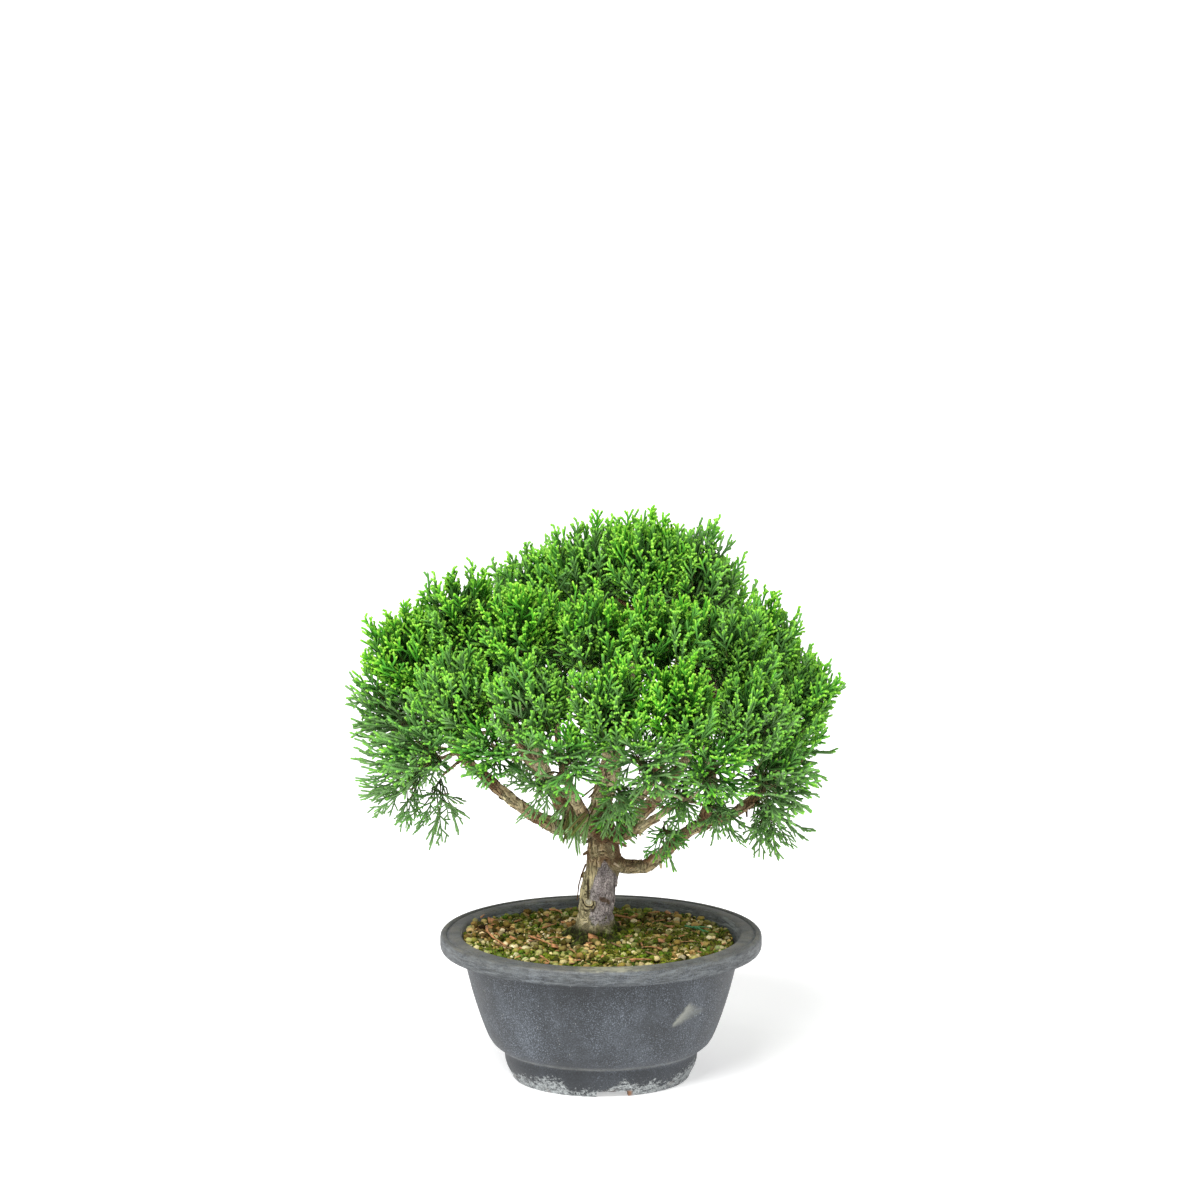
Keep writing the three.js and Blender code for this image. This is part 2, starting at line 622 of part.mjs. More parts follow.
// The tuft's core is a small ball. Its best placed faces carry sprays, and the others short blunt shoots.
function tuftGeometry(tuft, random) {
  const radius = tuft.core * tuft.radius;
  const Ball = tuft.kind === "full" ? THREE.IcosahedronGeometry : THREE.OctahedronGeometry;
  const ball = bare(new Ball(radius));
  const firstFace = new THREE.Vector3();
  const place = ball.attributes.position;
  for (const i of ball.index.array.slice(0, 3)) {
    firstFace.add(new THREE.Vector3().fromBufferAttribute(place, i));
  }
  const spin = new THREE.Quaternion().setFromAxisAngle(tuft.growth, random() * 2 * Math.PI);
  spin.multiply(new THREE.Quaternion().setFromUnitVectors(firstFace.normalize(), tuft.growth));
  const build = { vertices: [], faces: [] };
  for (let i = 0; i < place.count; i += 1) {
    const corner = new THREE.Vector3().fromBufferAttribute(place, i).applyQuaternion(spin);
    build.vertices.push(insideRoom(corner.multiplyScalar(drawn(random, CORE_SPREAD)), tuft.walls, SEAT));
  }
  const faces = [];
  for (let i = 0; i < ball.index.count; i += 3) {
    const corners = Array.from(ball.index.array.slice(i, i + 3));
    const wedge = wedgeOver(corners.map((corner) => build.vertices[corner]));
    const wanted = wedge.axis.clone().multiplyScalar(tuft.radius * drawn(random, TIP_SPREAD));
    const tip = kept(wanted, tuft, wedge, SEAT);
    const open = tip.length() > tuft.least * tuft.radius;
    faces.push({ corners, wedge, tip, rank: open ? wedge.axis.dot(tuft.growth) : NO_ROOM });
  }
  faces.sort((first, second) => second.rank - first.rank);
  faces.forEach(({ corners, wedge, tip, rank }, order) => {
    if (order < tuft.sprays && rank > NO_ROOM) {
      addSpray(build, tuft, corners, wedge, tip, random);
      return;
    }
    if (wedge.axis.dot(tuft.growth) < INNER_SIDE) {
      build.faces.push(corners);
      return;
    }
    const peak = wedge.axis.clone().multiplyScalar(radius * drawn(random, BLUNT_SPREAD));
    const top = build.vertices.push(kept(peak, tuft, wedge, SEAT / 2)) - 1;
    for (let i = 0; i < 3; i += 1) build.faces.push([corners[i], corners[(i + 1) % 3], top]);
  });
  const geometry = new THREE.BufferGeometry().setFromPoints(build.vertices);
  geometry.setIndex(build.faces.flat());
  return geometry.translate(tuft.centre.x, tuft.centre.y, tuft.centre.z);
}

function makeTuft(tuft, woodWithClearance, seed) {
  const whole = solidOf(tuftGeometry(tuft, seededRandom(seed)));
  return largestBody(whole.subtract(woodWithClearance));
}

// Colours and the finished group

function material(color, roughness) {
  return new THREE.MeshStandardMaterial({ color, roughness, metalness: 0 });
}

function named(name, solid, look) {
  const mesh = new THREE.Mesh(geometryOf(solid), look);
  mesh.name = name;
  return mesh;
}

function makeTree() {
  const tufts = TUFTS.map(readTuft);
  for (const tuft of tufts) tuft.walls = roomOf(tuft, tufts);
  const woodWithClearance = makeWood(tufts, SEAT);
  const group = new THREE.Group();
  group.add(named("pot", makePot(), material(0x5b6169, 0.85)));
  group.add(named("drain_mesh", makeNet(), material(0x2c2f31, 0.6)));
  group.add(named("soil", makeSoil(woodWithClearance), material(0x6e5334, 0.95)));
  group.add(named("wood", makeWood(tufts, 0), material(0x7a6250, 0.9)));
  const leafLook = material(0x4c9a2c, 0.7);
  tufts.forEach((tuft, number) => {
    group.add(named(tuft.name, makeTuft(tuft, woodWithClearance, TUFT_SEED + number), leafLook));
  });
  return group;
}

export default makeTree();
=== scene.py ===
"""A small juniper bonsai in its round grey pot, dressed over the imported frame."""

import math
import random
from dataclasses import dataclass

import bpy
import numpy as np
from bpy.props import FloatProperty, FloatVectorProperty, IntProperty, PointerProperty
from mathutils import Matrix, Vector, noise
from mathutils.bvhtree import BVHTree


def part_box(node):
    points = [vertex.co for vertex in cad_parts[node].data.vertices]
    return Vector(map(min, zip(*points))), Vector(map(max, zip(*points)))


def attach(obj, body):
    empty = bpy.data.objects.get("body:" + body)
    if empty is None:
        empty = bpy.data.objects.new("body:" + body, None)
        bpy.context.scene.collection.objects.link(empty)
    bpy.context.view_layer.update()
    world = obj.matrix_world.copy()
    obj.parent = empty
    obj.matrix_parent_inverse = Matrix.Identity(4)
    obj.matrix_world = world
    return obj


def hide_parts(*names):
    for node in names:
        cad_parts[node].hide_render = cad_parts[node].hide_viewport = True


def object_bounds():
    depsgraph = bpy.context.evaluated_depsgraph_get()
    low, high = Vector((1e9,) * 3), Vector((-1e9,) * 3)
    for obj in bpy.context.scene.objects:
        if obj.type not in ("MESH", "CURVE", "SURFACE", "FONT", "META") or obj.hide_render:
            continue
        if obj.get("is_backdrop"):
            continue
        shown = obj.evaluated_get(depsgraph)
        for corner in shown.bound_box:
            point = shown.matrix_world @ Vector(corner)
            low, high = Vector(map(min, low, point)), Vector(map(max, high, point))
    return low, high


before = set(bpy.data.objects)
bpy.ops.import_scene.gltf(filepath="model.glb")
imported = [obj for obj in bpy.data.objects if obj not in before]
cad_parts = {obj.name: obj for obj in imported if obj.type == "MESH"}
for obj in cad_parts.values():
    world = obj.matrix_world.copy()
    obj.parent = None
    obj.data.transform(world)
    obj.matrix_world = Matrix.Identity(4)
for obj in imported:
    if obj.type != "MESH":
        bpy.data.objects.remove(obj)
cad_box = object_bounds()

bl_info = {
    "name": "Juniper bonsai",
    "version": (1, 0, 0),
    "blender": (4, 5, 0),
    "location": "View3D > Sidebar > Bonsai",
    "description": "Builds a potted juniper bonsai piece by piece",
    "category": "Add Mesh",
}

MM = 0.001
GOLDEN_ANGLE = math.pi * (3 - math.sqrt(5))


# Sizes and colours that a user would change

def length(name, description, default):
    """A property that holds a length in metres."""
    return FloatProperty(name=name, description=description, default=default, unit="LENGTH", precision=5)


def count(name, description, default, least=0):
    """A property that holds a whole number."""
    return IntProperty(name=name, description=description, default=default, min=least)


def strength(name, description, default):
    """A property that holds the strength of a light."""
    return FloatProperty(name=name, description=description, default=default, min=0)


def colour(name, description, default):
    """A property that holds a colour."""
    return FloatVectorProperty(
        name=name, description=description, default=default, subtype="COLOR", size=3, min=0, max=1
    )


class PotSettings(bpy.types.PropertyGroup):
    """Sizes and colours of the pot."""

    sides: count("Sides", "Faces around the pot", 128, 32)
    notch_width: length("Notch width", "Width of each water notch in the foot", 16 * MM)
    notch_height: length("Notch height", "Height of each water notch", 3 * MM)
    clay: colour("Clay", "Blue-grey clay of the wall", (0.042, 0.047, 0.054))
    worn: colour("Worn edge", "Pale clay on the worn rim", (0.33, 0.335, 0.31))
    lime: colour("Lime", "White deposit along the foot", (0.50, 0.53, 0.53))


class SoilSettings(bpy.types.PropertyGroup):
    """Sizes and colours of what lies in the pot."""

    radius: length("Radius", "How far from the axis the soil reaches", 65.6 * MM)
    grain_count: count("Grains", "Number of loose grains", 4700)
    grain_size: length("Grain size", "Width of a middling grain", 2.2 * MM)
    moss_count: count("Moss", "Number of small moss tufts", 3200)
    twig_count: count("Dry twigs", "Number of fallen twigs", 26)
    # The earth is its own dark tone, painted darker still for the shade in the gaps between the grains.
    earth: colour("Earth", "Dark earth between the grains", (0.022, 0.016, 0.005))
    moss: colour("Moss", "Yellow-green moss", (0.30, 0.36, 0.022))
    root_moss: count("Root moss", "Number of moss tufts on the roots", 420)
    chip_count: count("Chips", "Number of bark chips", 70)
    dry: colour("Dry twig", "Orange-brown of fallen twigs", (0.62, 0.29, 0.12))


class WoodSettings(bpy.types.PropertyGroup):
    """Sizes and colours of roots, trunk, limbs and branches."""

    fineness: length("Fineness", "Width of the faces that the wood is drawn with", 0.9 * MM)
    relief: length("Relief", "Height of the bark's lumps", 2.0 * MM)
    flake_count: count("Flakes", "Number of loose flakes of bark", 620)
    stub_count: count("Stubs", "Number of stubs of lost twigs", 46)
    bark: colour("Bark", "Brown outer bark", (0.24, 0.135, 0.068))
    olive: colour("Olive bark", "Olive-tan bark of the trunk", (0.60, 0.52, 0.30))
    smooth: colour("Smooth bark", "Purple-grey bark where a strip has come off", (0.38, 0.33, 0.325))
    pale: colour("Pale bark", "Pale ridges of old bark", (0.62, 0.56, 0.42))


class FoliageSettings(bpy.types.PropertyGroup):
    """Size and colours of the shoots."""

    shoot_radius: length("Shoot radius", "Radius of a leafy shoot", 0.61 * MM)
    tip: colour("Tip", "Lime green of a growing tip", (0.50, 0.90, 0.10))
    young: colour("Young shoot", "Fresh green below the tip", (0.095, 0.44, 0.028))
    grown: colour("Grown shoot", "Deep green of older shoots", (0.036, 0.21, 0.012))
    # The blue-green is partly the shoots' own colour and partly a painted sheen, the pale grey-green that
    # their wax shows in the light.
    cool: colour("Shaded shoot", "Blue-green of shoots in the lower crown", (0.175, 0.33, 0.120))
    stem: colour("Stem", "Woody stem inside a tuft", (0.155, 0.088, 0.040))


class StageSettings(bpy.types.PropertyGroup):
    """Floor, light and camera."""

    floor_radius: length("Floor radius", "Radius of the pale round floor", 9.0)
    distance: length("Camera distance", "From the camera to the point it looks at", 5.0)
    view_width: length("View width", "Width of the picture at the bonsai", 0.5935)
    aim_height: length("Aim height", "Height of the point in the middle of the picture", 242.6 * MM)
    look_down: FloatProperty(
        name="Look down", description="How far the camera looks down",
        default=math.radians(12.1), subtype="ANGLE",
    )
    light: strength("Light", "Strength of the light from all round", 0.60)
    sun: strength("Sun", "Strength of the broad light from above", 3.1)


# Selection and shaping, as by hand

def deselect_all():
    """Leaves nothing selected."""
    for ob in bpy.context.selected_objects:
        ob.select_set(False)


def pick(ob):
    """Makes one object the only selected one and the active one."""
    deselect_all()
    ob.select_set(True)
    bpy.context.view_layer.objects.active = ob


def edit(ob):
    """Opens an object in edit mode with all of it selected."""
    pick(ob)
    bpy.ops.object.mode_set(mode="EDIT")
    bpy.ops.mesh.select_mode(type="VERT")
    bpy.ops.mesh.select_all(action="SELECT")


def done():
    """Goes back to object mode."""
    bpy.ops.object.mode_set(mode="OBJECT")


def settle(ob, name):
    """Names a finished piece and moves its place into its mesh."""
    pick(ob)
    bpy.ops.object.transform_apply(location=True, rotation=True, scale=True)
    ob.name = ob.data.name = name
    return ob


def apply_modifier(ob, kind, **values):
    """Adds one modifier with these values and applies it."""
    pick(ob)
    modifier = ob.modifiers.new(kind.title(), kind)
    for key, value in values.items():
        setattr(modifier, key, value)
    bpy.ops.object.modifier_apply(modifier=modifier.name)


def point_outwards(ob):
    """Makes all faces of a shell point outwards."""
    edit(ob)
    bpy.ops.mesh.normals_make_consistent(inside=False)
    done()


def added(primitive, **values):
    """A new primitive, light or camera, with nothing else selected."""
    deselect_all()
    primitive(**values)
    return bpy.context.object


def roughened(ob, offset, seed):
    """Moves every corner of a piece a little, each its own way."""
    edit(ob)
    bpy.ops.transform.vertex_random(offset=offset, uniform=0, normal=0, seed=seed)
    done()
    return ob


def drawn_round(profile, sides):
    """A round shell drawn ring by ring from (radius, height) pairs, each ring extruded from the last."""
    radius, height = profile[0]
    ring = added(bpy.ops.mesh.primitive_circle_add, vertices=sides, radius=radius, location=(0, 0, height))
    shell = settle(ring, "shell")
    edit(shell)
    for next_radius, next_height in profile[1:]:
        bpy.ops.mesh.extrude_region_move(TRANSFORM_OT_translate={"value": (0, 0, next_height - height)})
        share = next_radius / radius
        bpy.ops.transform.resize(value=(share, share, 1), center_override=(0, 0, next_height))
        radius, height = next_radius, next_height
    done()
    return shell


class Pattern:
    """A modelled shape that is copied many times into one mesh: its points, their colours and its faces."""

    def __init__(self, points, corners, sizes, colours):
        self.points, self.corners, self.sizes, self.colours = points, corners, sizes, colours

    @classmethod
    def of(cls, ob):
        """The pattern of an object, which is then removed."""
        mesh = ob.data
        corners = np.empty(len(mesh.loops), np.int32)
        mesh.loops.foreach_get("vertex_index", corners)
        sizes = np.empty(len(mesh.polygons), np.int32)
        mesh.polygons.foreach_get("loop_total", sizes)
        points = points_of(mesh)
        bpy.data.objects.remove(ob)
        return cls(points, corners, sizes, np.ones((len(points), 4), np.float32))

    def copy_at(self, matrix, colours=None):
        """A copy placed by a matrix, with its own colours."""
        turned = np.array(matrix, np.float32)
        points = self.points @ turned[:3, :3].T + turned[:3, 3]
        colours = np.broadcast_to(self.colours if colours is None else colours, self.colours.shape)
        return Pattern(points, self.corners, self.sizes, colours.copy())

    @classmethod
    def joined(cls, copies):
        """Several copies as one pattern."""
        starts = np.cumsum([0] + [len(copy.points) for copy in copies[:-1]])
        return cls(
            np.concatenate([copy.points for copy in copies]),
            np.concatenate([copy.corners + start for copy, start in zip(copies, starts)]),
            np.concatenate([copy.sizes for copy in copies]),
            np.concatenate([copy.colours for copy in copies]),
        )

    def piece(self, name, attribute):
        """The pattern as a piece of the scene, with its colours in a named attribute."""
        mesh = bpy.data.meshes.new(name)
        mesh.vertices.add(len(self.points))
        mesh.vertices.foreach_set("co", self.points.astype(np.float32).ravel())
        mesh.loops.add(len(self.corners))
        mesh.loops.foreach_set("vertex_index", self.corners.astype(np.int32))
        mesh.polygons.add(len(self.sizes))
        mesh.polygons.foreach_set("loop_start", (np.cumsum(self.sizes) - self.sizes).astype(np.int32))
        mesh.update(calc_edges=True)
        hold(mesh, attribute, self.colours)
        ob = bpy.data.objects.new(name, mesh)
        bpy.context.collection.objects.link(ob)
        return ob


def hold(mesh, name, colours):
    """Keeps a colour for each point of a mesh in a named attribute."""
    held = mesh.attributes.new(name, "FLOAT_COLOR", "POINT")
    held.data.foreach_set("color", colours.astype(np.float32).ravel())


def finished(piece, look, slot, *nodes):
    """Gives a piece its look, and lets it ride on the body and stand for its nodes. The slot is not used."""
    piece.data.materials.clear()
    piece.data.materials.append(look)
    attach(piece, "root")
    if nodes:
        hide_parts(*nodes)


def frame_for(base, along, up, width, stretch):
    """A matrix that takes a pattern's Z to a direction and its X as near to up as it can be."""
    z = Vector(along).normalized()
    x = Vector(up) - Vector(up).dot(z) * z
    if x.length < 1e-6:
        x = z.orthogonal()
    x.normalize()
    y = z.cross(x)
    turned = Matrix((x * width, y * width, z * stretch)).transposed().to_4x4()
    return Matrix.Translation(base) @ turned


def points_of(mesh):
    """The points of a mesh as rows."""
    held = np.empty(len(mesh.vertices) * 3, np.float32)
    mesh.vertices.foreach_get("co", held)
    return held.reshape(-1, 3)


# Looks

def scaled(colour, *shares):
    """A colour with its parts scaled by one share, or by one share each."""
    return [part * share for part, share in zip(colour, shares * 3)]


def blended(first, second, share):
    """A colour between two, by the share of the second."""
    return [(1 - share) * one + share * other for one, other in zip(first, second)]


class Amount:
    """A number, place or colour that a look works out at every point. Arithmetic on it adds nodes."""

    def __init__(self, look, socket):
        self.look, self.socket = look, socket

    def __add__(self, other):
        return self.look.arithmetic("ADD", self, other)

    def __sub__(self, other):
        return self.look.arithmetic("SUBTRACT", self, other)

    def __mul__(self, other):
        return self.look.arithmetic("MULTIPLY", self, other)

    def __abs__(self):
        return self.look.arithmetic("ABSOLUTE", self)

    def between(self, low, high, out_low=0.0, out_high=1.0):
        """The amount moved from one range to another, and kept in it."""
        return self.look.amount("MapRange", 0, {"Value": self, 1: low, 2: high, 3: out_low, 4: out_high})


class Look:
    """A material, and short ways to add the nodes that it is made of."""

    def __init__(self, name, **sockets):
        self.material = bpy.data.materials.new(name)
        self.material.use_nodes = True
        self.tree = self.material.node_tree
        self.shader = self.tree.nodes["Principled BSDF"]
        for key, value in sockets.items():
            self.shader.inputs[key.replace("_", " ").title().replace("Ior", "IOR")].default_value = value

    def node(self, kind, inputs=(), **settings):
        """A node with its settings, and its inputs set or linked by name or number."""
        made = self.tree.nodes.new("ShaderNode" + kind)
        for key, value in settings.items():
            setattr(made, key, value)
        for key, value in dict(inputs).items():
            if isinstance(value, Amount):
                self.tree.links.new(value.socket, made.inputs[key])
            else:
                made.inputs[key].default_value = value
        return made

    def amount(self, kind, output, inputs=(), **settings):
        """One output of a new node."""
        return Amount(self, self.node(kind, inputs, **settings).outputs[output])

    def place(self, scale=(1, 1, 1)):
        """Object coordinates, stretched."""
        return self.amount("Mapping", 0, {"Vector": self.amount("TexCoord", "Object"), "Scale": scale})

    def noise(self, place, scale, detail=4, roughness=0.6, distortion=0.0):
        """Soft random patches."""
        inputs = {"Vector": place, "Scale": scale, "Detail": detail, "Roughness": roughness}
        return self.amount("TexNoise", "Fac", {**inputs, "Distortion": distortion})

    def cells(self, place, scale):
        """Distance to the nearest of many random points."""
        return self.amount("TexVoronoi", "Distance", {"Vector": place, "Scale": scale})

    def ramp(self, value, stops):
        """A colour, or a grey, for each value. Stops are (place, colour or grey)."""
        made = self.node("ValToRGB", {"Fac": value})
        stop_list = made.color_ramp.elements
        while len(stop_list) < len(stops):
            stop_list.new(0.5)
        for stop, (position, shade) in zip(stop_list, stops):
            stop.position = position
            stop.color = (*([shade] * 3 if isinstance(shade, (int, float)) else shade), 1)
        return Amount(self, made.outputs["Color"])

    def arithmetic(self, operation, first, second=0.0):
        """Arithmetic on two amounts, or on an amount and a number."""
        return self.amount("Math", 0, {0: first, 1: second}, operation=operation)

    def distance(self, across, along):
        """How far a place is from the middle, by two of its parts."""
        return self.arithmetic("SQRT", across * across + along * along)

    def mix(self, share, first, second, blend="MIX"):
        """Two colours mixed by a share."""
        colours = {
            6: first if isinstance(first, Amount) else (*first, 1),
            7: second if isinstance(second, Amount) else (*second, 1),
        }
        return self.amount("Mix", 2, {0: share, **colours}, data_type="RGBA", blend_type=blend)

    def lit(self, base, light):
        """A colour made lighter or darker by a number."""
        return self.mix(1.0, base, self.amount("CombineColor", 0, {0: light, 1: light, 2: light}), "MULTIPLY")

    def parts(self, whole, kind="SeparateXYZ"):
        """The three parts of a place or a colour."""
        return [Amount(self, socket) for socket in self.node(kind, {0: whole}).outputs]

    def attribute(self, name):
        """The three parts of a colour held by the mesh."""
        return self.parts(self.amount("Attribute", "Color", attribute_name=name), "SeparateColor")

    def finish(self, base, roughness=None, height=None, relief=0.0):
        """Links colour, roughness and relief to the shader."""
        links = self.tree.links
        links.new(base.socket, self.shader.inputs["Base Color"])
        if roughness is not None:
            links.new(roughness.socket, self.shader.inputs["Roughness"])
        if height is not None:
            bump = self.node("Bump", {"Height": height, "Distance": relief, "Strength": 1.0})
            links.new(bump.outputs["Normal"], self.shader.inputs["Normal"])
        return self.material


# Pot

PLACES_OF_NOTCHES = (-82.5, 37.5, 157.5)  # degrees from +X
NOTCH_REACH = 14 * MM
NOTCH_PLACE = 42 * MM
SMOOTH_UNDER = math.radians(42)
RIM_LOW, RIM_HIGH = 72.3 * MM, 73.3 * MM
SCUFF_X, SCUFF_Z = 35 * MM, 37.9 * MM
OUTER_WALL = [
    (38.6, 0.5), (39.2, 0.1), (40.0, 0.0), (42.7, 0.0), (43.6, 0.25), (44.2, 0.9), (44.8, 2.3),
    (45.8, 4.3), (47.0, 6.7), (47.8, 9.4), (48.1, 12.2), (48.3, 13.8), (48.7, 14.7), (49.6, 15.4),
    (50.9, 16.1), (52.7, 17.3), (54.4, 18.9), (56.0, 21.4), (57.2, 24.0), (58.5, 27.3), (60.5, 32.8),
    (62.5, 39.0), (64.5, 45.7), (66.4, 53.2), (68.0, 60.0), (69.2, 64.0), (69.7, 64.8), (70.6, 65.05),
    (78.0, 65.1), (79.4, 65.5), (79.9, 66.4), (80.15, 67.8), (80.15, 71.0), (79.9, 72.4), (79.2, 73.2),
    (78.1, 73.5), (77.3, 73.2), (76.8, 72.3), (76.3, 72.4), (75.7, 73.2), (74.5, 73.5), (70.8, 73.5),
    (70.0, 73.2), (69.4, 72.4), (68.7, 70.6), (66.8, 67.4),
]
INNER_WALL = [
    (65.6, 64.6), (64.0, 60.6), (61.0, 48.0), (57.4, 38.0), (53.4, 29.0), (49.4, 20.0), (45.4, 14.8),
    (42.2, 11.0), (40.4, 9.5), (38.4, 9.05), (20.0, 9.0), (7.6, 9.0), (7.1, 8.8), (7.0, 8.3), (7.0, 4.2),
    (7.2, 3.8), (7.8, 3.6), (22.0, 3.6), (36.6, 3.6), (37.6, 3.3), (38.2, 2.6),
]


def pot_look(pot):
    """Weathered blue-grey clay: speckles, worn pale edges, lime on the foot and one scuff on the wall."""
    look = Look("weathered_clay", roughness=0.55, specular_ior_level=0.4)
    place = look.place()
    x, y, z = look.parts(place)
    in_front = look.arithmetic("LESS_THAN", y, 0.0)
    patches = look.noise(place, 38, 5, 0.62)
    streaks = look.noise(look.place(scale=(1, 1, 0.25)), 95, 5, 0.7)
    fine = look.noise(place, 900, 3, 0.7)
    clay = look.ramp(
        patches * 0.6 + streaks * 0.4,
        [(0.34, scaled(pot.clay, 0.55)), (0.5, pot.clay), (0.66, scaled(pot.clay, 1.9))],
    )
    clay = look.mix(fine.between(0.52, 0.72, 0, 0.35), clay, scaled(pot.clay, 2.1))
    clay = look.mix(fine.between(0.46, 0.28, 0, 0.5), clay, scaled(pot.clay, 0.45))
    specks = look.cells(place, 420).between(0.16, 0.05)
    specks = specks * look.noise(place, 170, 2).between(0.55, 0.62)
    clay = look.mix(specks * 0.75, clay, (0.42, 0.43, 0.42))

    # Pale edges: wear on the top and outer edge of the lip, with a painted highlight that pales the lip
    # towards its top, and wear on the shoulder of the foot.
    edge_noise = look.noise(look.place(scale=(1, 1, 2.5)), 130, 6, 0.75)
    # Painted highlight with the wear: the lip's outer face pales towards its top.
    lip = z.between(64.6 * MM, 73.0 * MM, 0.0, 0.62)
    lip = lip * edge_noise.between(0.34, 0.62)
    clay = look.mix(lip, clay, pot.worn)
    streaks = look.noise(look.place(scale=(1, 1, 7)), 130, 6, 0.75)
    chips = z.between(64.8 * MM, 66.0 * MM) * streaks.between(0.44, 0.64, 0, 0.75)
    clay = look.mix(chips, clay, (0.30, 0.33, 0.34))
    top = z.between(RIM_LOW, RIM_HIGH)
    tan = look.mix(look.noise(place, 70, 4).between(0.42, 0.62), (0.155, 0.15, 0.135), (0.30, 0.275, 0.215))
    clay = look.mix(top * edge_noise.between(0.30, 0.60, 0.25, 0.9), clay, tan)
    shoulder = z.between(14.2 * MM, 15.2 * MM) * z.between(17.4 * MM, 15.8 * MM)
    shoulder = shoulder * edge_noise.between(0.40, 0.66, 0.1, 0.5)
    clay = look.mix(shoulder, clay, pot.worn)

    # A crystalline bloom: blue-white specks, thick in patches on the wall.
    grains = look.noise(place, 1700, 2, 0.5)
    bloom = grains.between(0.54, 0.66) * look.noise(place, 34, 4, 0.7).between(0.40, 0.66, 0.12, 0.75)
    clay = look.mix(bloom * z.between(9 * MM, 16 * MM, 0.4, 1.0), clay, (0.26, 0.30, 0.36))
    clay = look.mix(grains.between(0.44, 0.34, 0, 0.5), clay, scaled(pot.clay, 0.4))

    # Lime: crusts round the foot, low in some places, high in others, with a ragged upper edge.
    crust = look.noise(look.place(scale=(1, 1, 1.4)), 420, 7, 0.8)
    crumbs = look.noise(place, 1300, 4, 0.75)
    height = look.noise(look.place(scale=(1, 1, 0)), 26, 2).between(0.40, 0.62, 2.5 * MM, 10.0 * MM)
    above = z - height + crust.between(0.3, 0.7, 6.0 * MM, -6.0 * MM)
    flaked = crust.between(0.42, 0.52, 0.15, 1.0) * crumbs.between(0.42, 0.50, 0.25, 1.0)
    lime = above.between(0.8 * MM, -0.6 * MM, 0, 0.95) * flaked
    lime = lime * z.between(13 * MM, 10 * MM)
    # Painted shade: the foot below its shoulder is darker, as under the flaring wall.
    clay = look.mix(z.between(15.0 * MM, 13.0 * MM, 0, 0.35), clay, scaled(pot.clay, 0.5))
    clay = look.mix(lime, clay, pot.lime)
    rust = look.noise(place, 45, 3).between(0.56, 0.66, 0, 0.5) * z.between(5 * MM, 1 * MM)
    bare_clay = x.between(12.4 * MM, 13.2 * MM) * x.between(16.0 * MM, 14.4 * MM)
    bare_clay = bare_clay * z.between(3.8 * MM, 2.6 * MM)
    bare_clay = bare_clay * in_front
    clay = look.mix(look.arithmetic("MAXIMUM", rust, bare_clay), clay, (0.30, 0.14, 0.065))

    # Painted shade: the wall under the lip is darker, as the lip's shadow. Pale scratches run round the
    # inside of the lip.
    clay = look.mix(z.between(57 * MM, 63.5 * MM, 0, 0.4), clay, scaled(pot.clay, 0.6))
    inside = look.distance(x, y)
    inside = inside.between(70.4 * MM, 69.8 * MM) * z.between(66.5 * MM, 67.5 * MM)
    scratches = look.noise(look.place(scale=(1, 1, 14)), 52, 4, 0.7).between(0.53, 0.62, 0, 0.6)
    clay = look.mix(inside * scratches, clay, (0.36, 0.39, 0.40))
    smear = x.between(-14 * MM, -4 * MM) * x.between(26 * MM, 12 * MM)
    smear = smear * in_front * top
    smear = smear * look.noise(look.place(scale=(0.5, 1, 1)), 240, 4, 0.7).between(0.42, 0.56, 0, 0.7)
    clay = look.mix(smear, clay, (0.42, 0.41, 0.30))

    # One scuff on the front right of the wall, a wedge that fades towards its lower right side.
    from_left, up = x - SCUFF_X, z - SCUFF_Z
    ragged = (edge_noise - 0.5) * (4.0 * MM)
    along = from_left * 0.612 + up * 0.789
    across = from_left * 0.789 - up * 0.612
    across = across + ragged
    past = across - along * 0.62
    scuff = across.between(-0.9 * MM, 0.4 * MM) * past.between(1.6 * MM, -1.0 * MM)
    scuff = scuff * along.between(-0.6 * MM, 1.2 * MM)
    scuff = scuff * (along + ragged).between(15.5 * MM, 12.5 * MM)
    scuff = scuff * across.between(0.4 * MM, 5.0 * MM, 0.62, 0.20)
    scuff = scuff * in_front
    clay = look.mix(scuff, clay, (0.40, 0.41, 0.35))

    relief = fine * 0.35 + streaks * 0.5
    relief = relief + lime * 0.6
    rough = patches.between(0.35, 0.7, 0.48, 0.66)
    return look.finish(clay, rough, relief, 0.35 * MM)


class BONSAI_OT_pot(bpy.types.Operator):
    """Draw the pot ring by ring, and cut the water notches in its foot"""

    bl_idname = "bonsai.pot"
    bl_label = "Pot"

    def execute(self, context):
        pot = context.scene.bonsai_pot
        profile = [(radius * MM, height * MM) for radius, height in OUTER_WALL + INNER_WALL]
        shell = drawn_round(profile, pot.sides)
        # Both open rings meet under the foot, where they are bridged into one closed shell.
        edit(shell)
        bpy.ops.mesh.select_all(action="DESELECT")
        bpy.ops.mesh.select_non_manifold(extend=False)
        bpy.ops.mesh.bridge_edge_loops()
        done()
        point_outwards(shell)
        for degrees in PLACES_OF_NOTCHES:
            turn = math.radians(degrees)
            centre = (NOTCH_PLACE * math.cos(turn), NOTCH_PLACE * math.sin(turn), 0)
            cutter = added(bpy.ops.mesh.primitive_cube_add, size=1, location=centre, rotation=(0, 0, turn))
            cutter.scale = (NOTCH_REACH, pot.notch_width, 2 * pot.notch_height)
            settle(cutter, "notch")
            apply_modifier(cutter, "BEVEL", width=0.8 * MM, segments=3)
            apply_modifier(shell, "BOOLEAN", object=cutter, operation="DIFFERENCE", solver="EXACT")
            bpy.data.objects.remove(cutter)
        pick(shell)
        bpy.ops.object.shade_smooth_by_angle(angle=SMOOTH_UNDER)
        settle(shell, "pot_shell")
        finished(shell, pot_look(pot), "pot", "pot")
        return {"FINISHED"}


